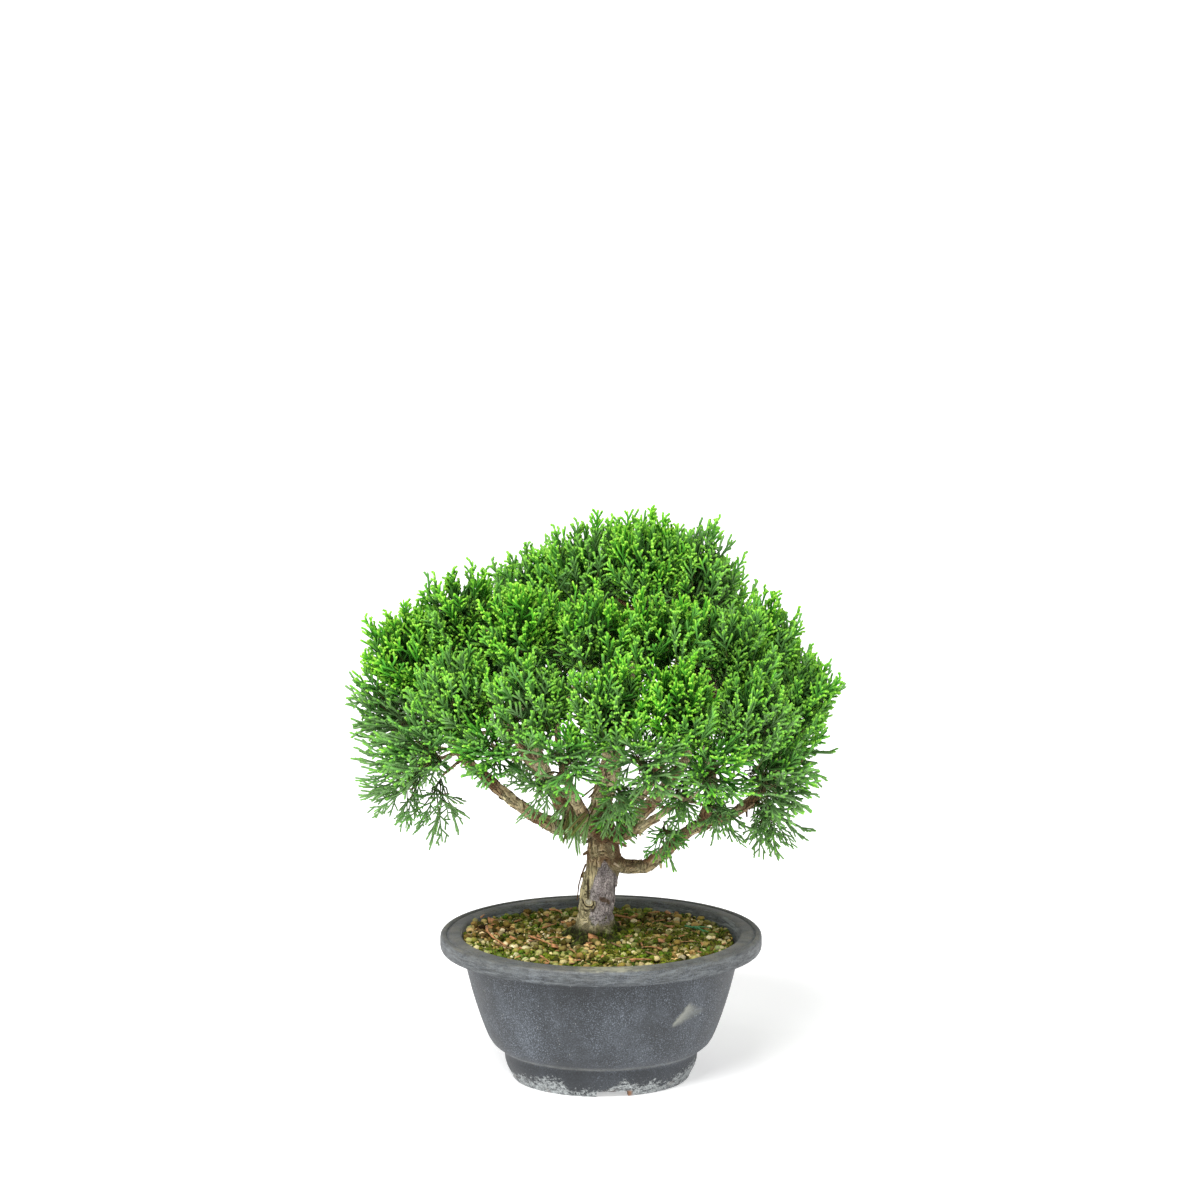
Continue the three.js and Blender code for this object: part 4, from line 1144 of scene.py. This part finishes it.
HABITS = {
    "dense": Habit(
        kinds=("dense",) * 11 + ("open",), sprigs=98, inner=24, lengths=(14 * MM, 18 * MM, 23 * MM),
        outward=0.66, up=0.85, least_way=-0.45, ragged=1.0,
        tints=(0.30, 1.0), ages=(0.95, 1.0), twigs=(0.14, 0.30), lit=0.0, valley=0.13,
    ),
    "airy": Habit(
        kinds=("dense", "open", "open", "open"), sprigs=37, inner=3, lengths=(18 * MM, 24 * MM),
        outward=0.95, up=0.15, least_way=-0.45, ragged=0.85,
        tints=(0.10, 0.85), ages=(0.84, 1.0), twigs=(0.02, 0.24), lit=0.5,
    ),
    "open": Habit(
        kinds=("open",), sprigs=14, inner=0, lengths=(28 * MM, 34 * MM),
        outward=1.0, up=-0.15, least_way=-0.30, ragged=0.72,
        tints=(0.0, 0.45), ages=(0.80, 1.0), twigs=(0.10, 0.24), lit=0.9,
    ),
    "sparse": Habit(
        kinds=("open",), sprigs=7, inner=0, lengths=(28 * MM, 34 * MM),
        outward=1.0, up=-0.20, least_way=-0.30, ragged=0.90,
        tints=(0.0, 0.35), ages=(0.72, 0.9), twigs=(0.16, 0.26), lit=0.9,
    ),
    # Painted light: the plain tufts sit in the crown's shade and are given fresher, brighter colours for it.
    "plain": Habit(
        kinds=("plain", "open"), sprigs=12, inner=0, lengths=(18 * MM, 23 * MM),
        outward=1.0, up=-0.15, least_way=-0.70, ragged=0.70,
        tints=(0.5, 1.2), ages=(0.9, 1.0), twigs=(0.02, 0.10), lit=1.0,
    ),
}


def habit_of(node):
    """Plain on trunk and limb, airy if low or at an edge, open or sparse if hanging, otherwise dense."""
    if "_on_" in node:
        return HABITS["plain"]
    if node == "foliage_hanging_left_inner":
        return HABITS["sparse"]
    if "_low_" in node or "_edge" in node:
        return HABITS["airy"]
    if "hanging" in node:
        return HABITS["open"]
    return HABITS["dense"]


def shoot_tips(node):
    """The points of a node's shoots, and the way each one points."""
    corners = points_of(node.data)
    points, number = np.unique(np.round(corners, 6), axis=0, return_inverse=True)
    faces = number.reshape(-1)[np.array([face.vertices[:] for face in node.data.polygons])]
    angles = np.zeros(len(points))
    beside = np.zeros((len(points), 3))
    count = np.zeros(len(points))
    for turn in range(3):
        here, second, third = (faces[:, (turn + step) % 3] for step in range(3))
        one, other = points[second] - points[here], points[third] - points[here]
        lengths = np.linalg.norm(one, axis=1) * np.linalg.norm(other, axis=1)
        cosine = (one * other).sum(1) / np.maximum(lengths, 1e-12)
        np.add.at(angles, here, np.arccos(cosine.clip(-1, 1)))
        np.add.at(beside, here, points[second] + points[third])
        np.add.at(count, here, 2)
    sharp = angles < TIP_ANGLE
    ways = points[sharp] - beside[sharp] / count[sharp][:, None]
    return points[sharp], ways / np.linalg.norm(ways, axis=1)[:, None]


def shoot_pattern(sides, rings):
    """One shoot a unit long and about a unit in radius, from rings of (radius, height), open at its foot."""
    height, radius = 0.0, rings[0][0]
    shoot = added(bpy.ops.mesh.primitive_circle_add, vertices=sides, radius=radius)
    edit(shoot)
    for next_radius, next_height in rings[1:]:
        bpy.ops.mesh.extrude_region_move(TRANSFORM_OT_translate={"value": (0, 0, next_height - height)})
        if next_radius:
            share = next_radius / radius
            bpy.ops.transform.resize(value=(share, share, 1), center_override=(0, 0, next_height))
        else:
            bpy.ops.mesh.merge(type="CENTER")
        radius, height = next_radius, next_height
    bpy.ops.mesh.select_all(action="SELECT")
    bpy.ops.mesh.normals_make_consistent(inside=False)
    done()
    return Pattern.of(shoot)


class Sprig:
    """A sprig being put together from copies of a few shoot patterns. Sizes are in metres."""

    def __init__(self, patterns, radius, rng):
        self.patterns, self.radius, self.rng, self.pieces = patterns, radius, rng, []

    def add(self, kind, base, way, span, width, ages):
        """One shoot, with its age from foot to tip: 0 is old wood and 1 a growing tip."""
        pattern = self.patterns[kind]
        shades = pattern.colours.copy()
        shades[:, 0] = ages[0] + (ages[1] - ages[0]) * pattern.points[:, 2]
        matrix = frame_for(base, way, (1, 0, 0.01), width * self.radius, span)
        self.pieces.append(pattern.copy_at(matrix, shades))


def leaning(way, side, angle):
    """A way leaned towards a side by an angle."""
    way = Vector(way).normalized()
    side = Vector(side) - Vector(side).dot(way) * way
    return way * math.cos(angle) + side.normalized() * math.sin(angle)


def main_stem(sprig, whole, bend, bare):
    """The stem of a sprig in four lengths, the last a tip. Gives the place and way at any share of it."""
    def place(share):
        return Vector((bend * share ** 2, 0, whole * share))

    def way(share):
        return Vector((2 * bend * share, 0, whole))

    shares, widths = (0.0, 0.3, 0.58, 0.8), (0.62, 0.78, 0.86, 0.92)
    ages = (0.0, bare, 0.42, 0.58, 1.0)
    for number, start in enumerate(shares):
        last = number == len(shares) - 1
        end = 1.0 if last else shares[number + 1]
        span = (place(end) - place(start)).length
        kind = "tip" if last else "stem"
        sprig.add(kind, place(start), place(end) - place(start), span * (1 if last else 1.08), widths[number],
                  (ages[number], ages[number + 1]))
    return place, way


def dense_sprig(patterns, radius, whole, rng):
    """A small frond of the dense crown: straight shoots left and right of a stem, with lime ends."""
    sprig = Sprig(patterns, radius, rng)
    place, way = main_stem(sprig, whole, rng.uniform(0.0, 0.09) * whole, 0.25)
    sides = round(whole / (3.0 * MM))
    turn = rng.uniform(0, 2 * math.pi)
    for number in range(sides):
        share = 0.16 + 0.74 * (number + rng.uniform(0.2, 0.8)) / sides
        turn += math.pi + rng.uniform(-0.75, 0.75)
        outward = Vector((math.cos(turn), math.sin(turn), 0.0))
        span = (3.4 + 7.4 * (1 - share)) * MM * rng.uniform(0.8, 1.2)
        side_way = leaning(way(share), outward, math.radians(rng.uniform(22, 40)))
        base = place(share)
        ripe = rng.choice((0.92, 1.0, 1.0))
        sprig.add("side", base, side_way, span, rng.uniform(0.92, 1.05), (0.26 + 0.22 * share, ripe))
        for along in (0.72, 0.44)[:1 + (span > 6.5 * MM)] if span > 3.8 * MM else ():
            lobe_turn = turn + rng.choice((-1.3, 1.3))
            lobe_side = Vector((math.cos(lobe_turn), math.sin(lobe_turn), 0.2))
            lobe_way = leaning(side_way, lobe_side, math.radians(rng.uniform(28, 46)))
            lobe_base = base + side_way * span * (along + rng.uniform(-0.08, 0.08))
            lobe_span, lobe_width = rng.uniform(1.7, 2.8) * MM, rng.uniform(0.92, 1.05)
            sprig.add("lobe", lobe_base, lobe_way, lobe_span, lobe_width, (0.62, ripe))
    return Pattern.joined(sprig.pieces)


def open_sprig(patterns, radius, whole, rng):
    """A slender spray of the lower crown: long thin side shoots in a loose flat fan, each forked again."""
    sprig = Sprig(patterns, radius * 1.08, rng)
    place, way = main_stem(sprig, whole, rng.uniform(-0.10, 0.14) * whole, 0.22)
    sides = round(whole / (6.2 * MM))
    hand = rng.choice((-1, 1))
    for number in range(sides):
        share = 0.14 + 0.74 * (number + rng.uniform(0.2, 0.8)) / sides
        hand = -hand
        outward = Vector((rng.uniform(-0.4, 0.4), hand, 0.0))
        span = (5.5 + 12.5 * (1 - share)) * MM * rng.uniform(0.75, 1.2)
        side_way = leaning(way(share), outward, math.radians(rng.uniform(28, 46)))
        base = place(share)
        ripe = rng.choice((0.72, 0.85, 1.0))
        sprig.add("point", base, side_way, span, rng.uniform(0.85, 0.98), (0.20 + 0.2 * share, ripe))
        for lobe in range(2 if span > 10 * MM else 1):
            along = (0.66, 0.38)[lobe] + rng.uniform(-0.08, 0.08)
            lobe_side = Vector((rng.uniform(-0.4, 0.4), hand if lobe % 2 else -hand, 0))
            lobe_way = leaning(side_way, lobe_side, math.radians(rng.uniform(30, 46)))
            lobe_span, lobe_width = rng.uniform(3.2, 7.0) * MM, rng.uniform(0.85, 0.98)
            lobe_base = base + side_way * span * along
            sprig.add("point", lobe_base, lobe_way, lobe_span, lobe_width, (0.30 + 0.2 * share, ripe))
    return Pattern.joined(sprig.pieces)


def plain_sprig(patterns, radius, whole, rng):
    """A sprig of long straight shoots, as on the trunk and in the shade inside a dense tuft."""
    sprig = Sprig(patterns, radius * 1.12, rng)
    sprig.add("point", Vector(), (0, 0, 1), whole, 0.9, (0.2, 0.8))
    for number in range(4):
        share = 0.12 + 0.17 * number
        turn = number * GOLDEN_ANGLE
        outward = Vector((math.cos(turn), math.sin(turn), 0.0))
        side_way = leaning((0, 0, 1), outward, math.radians(rng.uniform(25, 50)))
        span = whole * (0.68 - 0.45 * share) * rng.uniform(0.8, 1.1)
        sprig.add("point", Vector((0, 0, whole * share)), side_way, span, 1.0, (0.25, 0.8))
    return Pattern.joined(sprig.pieces)


GROWERS = {"dense": dense_sprig, "open": open_sprig, "plain": plain_sprig}


def even_ways(count):
    """Directions spread evenly over a sphere."""
    number = np.arange(count) + 0.5
    height = 1 - 2 * number / count
    turn = number * GOLDEN_ANGLE
    level = np.sqrt(1 - height ** 2)
    return np.stack([level * np.cos(turn), level * np.sin(turn), height], 1)


def chosen(heart, tips, count):
    """As many of a tuft's tips as wanted, spread evenly over its ways."""
    ways = tips - np.array(heart)
    ways /= np.linalg.norm(ways, axis=1)[:, None]
    taken = [0]
    while len(taken) < min(count, len(tips)):
        taken.append(int((ways @ ways[taken].T).max(1).argmin()))
    return tips[taken]


def filled_in(heart, growth, tips, habit, rng):
    """Places for more tips in the gaps between a tuft's own, at most about as far out as those near them."""
    offsets = tips - np.array(heart)
    reach = np.linalg.norm(offsets, axis=1)
    known = offsets / reach[:, None]
    ways = even_ways(180)
    ways = ways[ways @ np.array(growth) > habit.least_way]
    places, taken = [], known
    for _ in range(max(0, habit.sprigs - len(tips))):
        closest = (ways @ taken.T).max(1)
        best = int(np.argmin(closest + 0.02 * np.array([rng.random() for _ in ways])))
        near = ways[best] @ known.T
        order = np.argsort(-near)[:4]
        weight = np.exp(6 * near[order])
        distance = float((reach[order] * weight).sum() / weight.sum()) * rng.uniform(0.78, 1.0)
        distance *= 1 - habit.valley * (1 - max(0.0, float(ways[best] @ np.array(growth))))
        places.append(np.array(heart) + ways[best] * distance)
        taken = np.vstack([taken, ways[best]])
    return places


def foliage_look(foliage):
    """Scale leaves: lime tips, fresh green shoots, blue-green older ones and brown stems, with painted shade
    inside the tufts and a painted sheen in the blue-green.
    """
    look = Look("scale_leaves", roughness=0.6, specular_ior_level=0.14)
    age, tint, depth = look.attribute("growth")
    place = look.place()
    fine = look.noise(place, 1500, 2, 0.6)
    broad = look.noise(place, 30, 2)
    age = age + (fine - 0.5) * 0.10
    # Painted sheen: the blue-green ramp is partly the shoots' own colour and partly paler and greyer, as they
    # look where light shines on them.
    cool = look.ramp(age, [
        (0.0, foliage.stem), (0.14, blended(foliage.stem, foliage.cool, 0.5)),
        (0.26, scaled(foliage.cool, 0.9, 0.95, 0.9)), (0.66, scaled(foliage.cool, 1.25, 1.24, 1.15)),
        (0.88, scaled(foliage.young, 2.2, 1.30, 2.1)), (0.98, scaled(foliage.tip, 0.74, 0.88, 1.3)),
    ])
    warm = look.ramp(age, [
        (0.0, foliage.stem), (0.12, blended(foliage.stem, foliage.grown, 0.6)),
        (0.28, foliage.grown), (0.64, foliage.young),
        (0.82, scaled(foliage.young, 2.2, 1.45, 1.1)), (0.96, foliage.tip),
    ])
    share = tint + broad.between(0.35, 0.65, -0.30, 0.30)
    base = look.mix(share.between(0.0, 1.0), cool, warm)
    # Painted shade: shoots deep inside a tuft are darkened.
    base = look.lit(base, depth.between(0.0, 1.0, 0.38, 1.0))
    return look.finish(base, fine.between(0.3, 0.7, 0.5, 0.7), fine, 0.12 * MM)


def fork_look(foliage):
    """Grey-green for the long shoots at the fork, painted pale for the light on their front, and brown for
    the dead ones.
    """
    look = Look("fork_shoots", roughness=0.6, specular_ior_level=0.14)
    age, tint, _ = look.attribute("growth")
    fine = look.noise(look.place(), 1500, 2, 0.6)
    base = look.ramp(age, [
        (0.0, (0.16, 0.095, 0.042)), (0.15, (0.30, 0.22, 0.09)), (0.30, (0.22, 0.32, 0.09)),
        (0.75, (0.36, 0.56, 0.24)), (1.0, (0.42, 0.78, 0.24)),
    ])
    base = look.mix(tint.between(0.0, 0.35, 0, 0.4), base, scaled(foliage.young, 1.5, 1.1, 1.5))
    base = look.mix(fine.between(0.5, 0.3, 0, 0.3), base, foliage.grown)
    return look.finish(base, fine.between(0.3, 0.7, 0.5, 0.7), fine, 0.12 * MM)


class BONSAI_OT_foliage(bpy.types.Operator):
    """Grow every tuft: sprigs that end where its shoots end, and more in the gaps between them"""

    bl_idname = "bonsai.foliage"
    bl_label = "Foliage"

    def execute(self, context):
        foliage = context.scene.bonsai_foliage
        rng = random.Random(FOLIAGE_SEED)
        shoots = {
            "stem": shoot_pattern(3, [(1.0, 0), (1.0, 1)]),
            "tip": shoot_pattern(4, [(0.78, 0), (1.08, 0.84), (0, 1)]),
            "side": shoot_pattern(3, [(0.90, 0), (1.16, 0.88), (0, 1)]),
            "lobe": shoot_pattern(3, [(0.90, 0), (1.24, 0.76), (0, 1)]),
            "point": shoot_pattern(3, [(1.0, 0), (1.12, 0.88), (0, 1)]),
            "twig": shoot_pattern(3, [(1.0, 0), (0.8, 1)]),
        }
        spans = sorted({whole for habit in HABITS.values() for whole in habit.lengths})
        sprigs = {
            (kind, whole): [grower(shoots, foliage.shoot_radius, whole, rng) for _ in range(VARIANTS)]
            for kind, grower in GROWERS.items() for whole in spans
        }
        look = foliage_look(foliage)
        branch_ends, branch_ways = shoot_tips(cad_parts["wood"])
        for number, node in enumerate(sorted(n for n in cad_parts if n.startswith("foliage_"))):
            low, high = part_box(node)
            nearest = np.linalg.norm(branch_ends - np.array((low + high) / 2), axis=1).argmin()
            branch = Vector(branch_ends[nearest]), Vector(branch_ways[nearest])
            self.grow_tuft(node, branch, sprigs, shoots["twig"], look, random.Random(FOLIAGE_SEED + number))
        self.shoots_at_fork(shoots["point"], fork_look(foliage))
        return {"FINISHED"}

    def shoots_at_fork(self, point, look):
        """Long plain shoots, some of them brown, that hang before the place where the trunk forks."""
        rng = random.Random(FOLIAGE_SEED)
        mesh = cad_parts["wood"].data
        faces = [face.vertices[:] for face in mesh.polygons]
        wood = BVHTree.FromPolygons([vertex.co for vertex in mesh.vertices], faces)
        copies = []
        for foot_x, foot_z, end_x, end_z in FORK_SHOOTS * FORK_ROUNDS:
            shift = Vector([rng.uniform(-3.5, 3.5) * MM for _ in range(3)])
            start = Vector((foot_x * MM, -0.1, foot_z * MM)) + shift
            foot = wood.ray_cast(start, Vector((0, 1, 0)))[0]
            if foot is None or foot.y > FORK_BACK:
                continue
            run = Vector((end_x - foot_x, rng.uniform(-9, -3), end_z - foot_z)) * MM
            run = (run + shift).normalized() * run.length * rng.uniform(0.6, 1.05)
            foot -= run * 0.05
            shades = point.colours.copy()
            first, last = rng.choice(((0.30, 0.70), (0.40, 0.80), (0.50, 1.0), (0.0, 0.12)))
            shades[:, 0] = first + (last - first) * point.points[:, 2]
            shades[:, 1], shades[:, 2] = rng.uniform(-0.2, 0.35), 1.0
            matrix = frame_for(foot, run, (1, 0, 0.01), rng.uniform(0.46, 0.70) * MM, run.length)
            copies.append(point.copy_at(matrix, shades))
        finished(Pattern.joined(copies).piece("shoots_at_fork", "growth"), look, "foliage")

    def grow_tuft(self, node, branch, sprigs, twig, look, rng):
        """One tuft's piece, in place of its node."""
        habit = habit_of(node)
        heart, branch_way = branch
        growth = (heart - CROWN_HEART).normalized()
        tips, _ = shoot_tips(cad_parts[node])
        places = [Vector(tip) for tip in chosen(heart, tips, habit.sprigs)]
        places += [Vector(place) for place in filled_in(heart, growth, tips, habit, rng)]
        within = len(places)
        places += [Vector(tip) * MM for tip in MORE_TIPS.get(node, ())]
        farthest = max((place - heart).length for place in places)
        copies = []
        tuft_tint = rng.uniform(-0.22, 0.22)
        for order, place in enumerate(places):
            outward = (place - heart).normalized()
            if any((place - Vector(hollow[:3]) * MM).length < hollow[3] * MM for hollow in CUT_BACK):
                place = heart + (place - heart) * CUT_SHARE
            shortened = rng.uniform(0, 1 - habit.ragged) if order < within else 0.0
            place = place - outward * (PULLED_IN + (place - heart).length * shortened)
            way = outward * habit.outward + Vector((0, 0, habit.up)) + growth * 0.25
            way = (way + Vector([rng.uniform(-0.28, 0.28) for _ in range(3)])).normalized()
            kind = rng.choice(habit.kinds)
            reach = (place - heart).length
            whole = min(habit.lengths, key=lambda length: abs(length - reach * rng.uniform(0.6, 1.0)))
            stretch = min(1.0, max(0.7, reach / whole))
            pattern = rng.choice(sprigs[kind, whole])
            base = place - way * whole * stretch
            up = Vector((rng.uniform(-0.6, 0.6), rng.uniform(-0.6, 0.6), 1))
            copy = pattern.copy_at(self.fitted(pattern, base, place, up, stretch))
            copy.colours[:, 0] *= rng.uniform(*habit.ages)
            # Painted light: sprigs high in their tuft lean to the fresh green, and low ones to the
            # blue-green.
            high = (place.z - heart.z) / farthest
            copy.colours[:, 1] = rng.uniform(*habit.tints) + tuft_tint + 0.4 * (high - 0.4)
            far = np.linalg.norm(copy.points - np.array(heart), axis=1) / farthest
            # Painted shade: the nearer a point is to the tuft's heart, the darker it is painted.
            copy.colours[:, 2] = ((far - DARK_TO) / DARK_SPAN).clip(habit.lit, 1)
            copies.append(copy)
            foot = heart - branch_way * rng.uniform(0, BRANCH_END)
            copies += self.twiglet(twig, foot, base, way, rng.uniform(*habit.twigs))
        for way in even_ways(habit.inner):
            way = Vector(way)
            pattern = rng.choice(sprigs["plain", habit.lengths[0]])
            copy = pattern.copy_at(frame_for(heart, way, (0.1, 0, 1), 1, rng.uniform(0.9, 1.2)))
            copy.colours[:, 0] *= 0.75
            copy.colours[:, 1] = rng.uniform(0.6, 0.9)
            # Painted shade: the plain sprigs inside the tuft are painted dark.
            copy.colours[:, 2] = rng.uniform(0.0, 0.15)
            copies.append(copy)
        piece = Pattern.joined(copies).piece(node.replace("foliage_", "sprays_"), "growth")
        pick(piece)
        bpy.ops.object.shade_smooth()
        finished(piece, look, "foliage", node)

    def twiglet(self, twig, foot, end, way, age):
        """The bare twig that carries a sprig, curved from the branch to the sprig's foot."""
        middle = (foot + end) / 2 - way * 0.22 * (end - foot).length
        # The third part paints the twig in the shade of the tuft's inside.
        shade = (age, 0.5, 0.35, 1)
        copies = []
        for start, stop, width in ((foot, middle, 0.62 * MM), (middle, end + way * MM, 0.5 * MM)):
            span = (stop - start).length
            copies.append(twig.copy_at(frame_for(start, stop - start, (1, 0, 0.01), width, span), shade))
        return copies

    def fitted(self, pattern, base, tip, up, stretch):
        """The matrix that puts a sprig's foot at one point and its tip at or near another."""
        own_tip = Vector(pattern.points[np.argmax(pattern.points[:, 2])])
        lean = own_tip.rotation_difference(Vector((0, 0, 1))).to_matrix().to_4x4()
        return frame_for(base, tip - base, up, 1, 1) @ Matrix.Scale(stretch, 4) @ lean


# Floor, light and camera

FLOOR_GLOW = 0.42
SUN_WIDTH = math.radians(30)
SUN_WAY = (0.28, 0.85, -1)
SENSOR = 36  # millimetres, as the camera counts them
AIM_X = -0.5 * MM


class BONSAI_OT_stage(bpy.types.Operator):
    """Set the pale floor, the soft light and the camera"""

    bl_idname = "bonsai.stage"
    bl_label = "Floor, light and camera"

    def execute(self, context):
        stage = context.scene.bonsai_stage
        disc = bpy.ops.mesh.primitive_circle_add
        floor = settle(added(disc, vertices=96, radius=stage.floor_radius, fill_type="NGON"), "floor")
        look = Look("pale_floor", roughness=0.9, specular_ior_level=0.1)
        look.shader.inputs["Emission Color"].default_value = (1, 1, 1, 1)
        look.shader.inputs["Emission Strength"].default_value = FLOOR_GLOW
        soft = look.noise(look.place(), 3, 2)
        floor.data.materials.append(look.finish(look.ramp(soft, [(0.3, 0.90), (0.7, 0.92)])))
        floor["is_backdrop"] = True

        world = bpy.data.worlds.new("studio")
        context.scene.world = world
        world.use_nodes = True
        world.node_tree.nodes["Background"].inputs["Color"].default_value = (1, 1, 1, 1)
        world.node_tree.nodes["Background"].inputs["Strength"].default_value = stage.light
        sun = added(bpy.ops.object.light_add, type="SUN")
        sun.name = "key"
        sun.data.energy, sun.data.angle = stage.sun, SUN_WIDTH
        sun.rotation_euler = Vector(SUN_WAY).to_track_quat("-Z", "Y").to_euler()

        target = Vector((AIM_X, 0, stage.aim_height))
        away = Vector((0, -math.cos(stage.look_down), math.sin(stage.look_down)))
        camera = added(bpy.ops.object.camera_add, location=target + away * stage.distance)
        camera.rotation_euler = (-away).to_track_quat("-Z", "Y").to_euler()
        camera.data.sensor_width = SENSOR
        camera.data.lens = SENSOR * stage.distance / stage.view_width
        camera.data.clip_start, camera.data.clip_end = 0.05, 40
        context.scene.camera = camera
        context.scene.view_settings.view_transform = "Standard"
        return {"FINISHED"}


# The add-on's panel and lists

OPERATORS = (BONSAI_OT_pot, BONSAI_OT_net, BONSAI_OT_soil, BONSAI_OT_wood, BONSAI_OT_foliage, BONSAI_OT_stage)
SETTINGS = {
    "bonsai_pot": PotSettings,
    "bonsai_soil": SoilSettings,
    "bonsai_wood": WoodSettings,
    "bonsai_foliage": FoliageSettings,
    "bonsai_stage": StageSettings,
}


class BONSAI_PT_panel(bpy.types.Panel):
    """Lists the steps and the settings"""

    bl_idname = "BONSAI_PT_panel"
    bl_label = "Juniper bonsai"
    bl_space_type = "VIEW_3D"
    bl_region_type = "UI"
    bl_category = "Bonsai"

    def draw(self, context):
        for operator in OPERATORS:
            self.layout.operator(operator.bl_idname)
        for name, group in SETTINGS.items():
            box = self.layout.box()
            for key in group.__annotations__:
                box.prop(getattr(context.scene, name), key)


def register():
    """Adds the settings, the operators and the panel."""
    for name, group in SETTINGS.items():
        bpy.utils.register_class(group)
        setattr(bpy.types.Scene, name, PointerProperty(type=group))
    for made in (*OPERATORS, BONSAI_PT_panel):
        bpy.utils.register_class(made)


def unregister():
    """Takes them away again."""
    for made in (BONSAI_PT_panel, *OPERATORS):
        bpy.utils.unregister_class(made)
    for name, group in SETTINGS.items():
        delattr(bpy.types.Scene, name)
        bpy.utils.unregister_class(group)


def main():
    """Builds the bonsai."""
    register()
    bpy.ops.bonsai.pot()
    bpy.ops.bonsai.net()
    bpy.ops.bonsai.soil()
    bpy.ops.bonsai.wood()
    bpy.ops.bonsai.foliage()
    bpy.ops.bonsai.stage()
    visual_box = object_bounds()
    boxes = {"cad": cad_box, "visual": visual_box}
    {name: [list(corner) for corner in box] for name, box in boxes.items()}


if __name__ == "__main__":
    main()
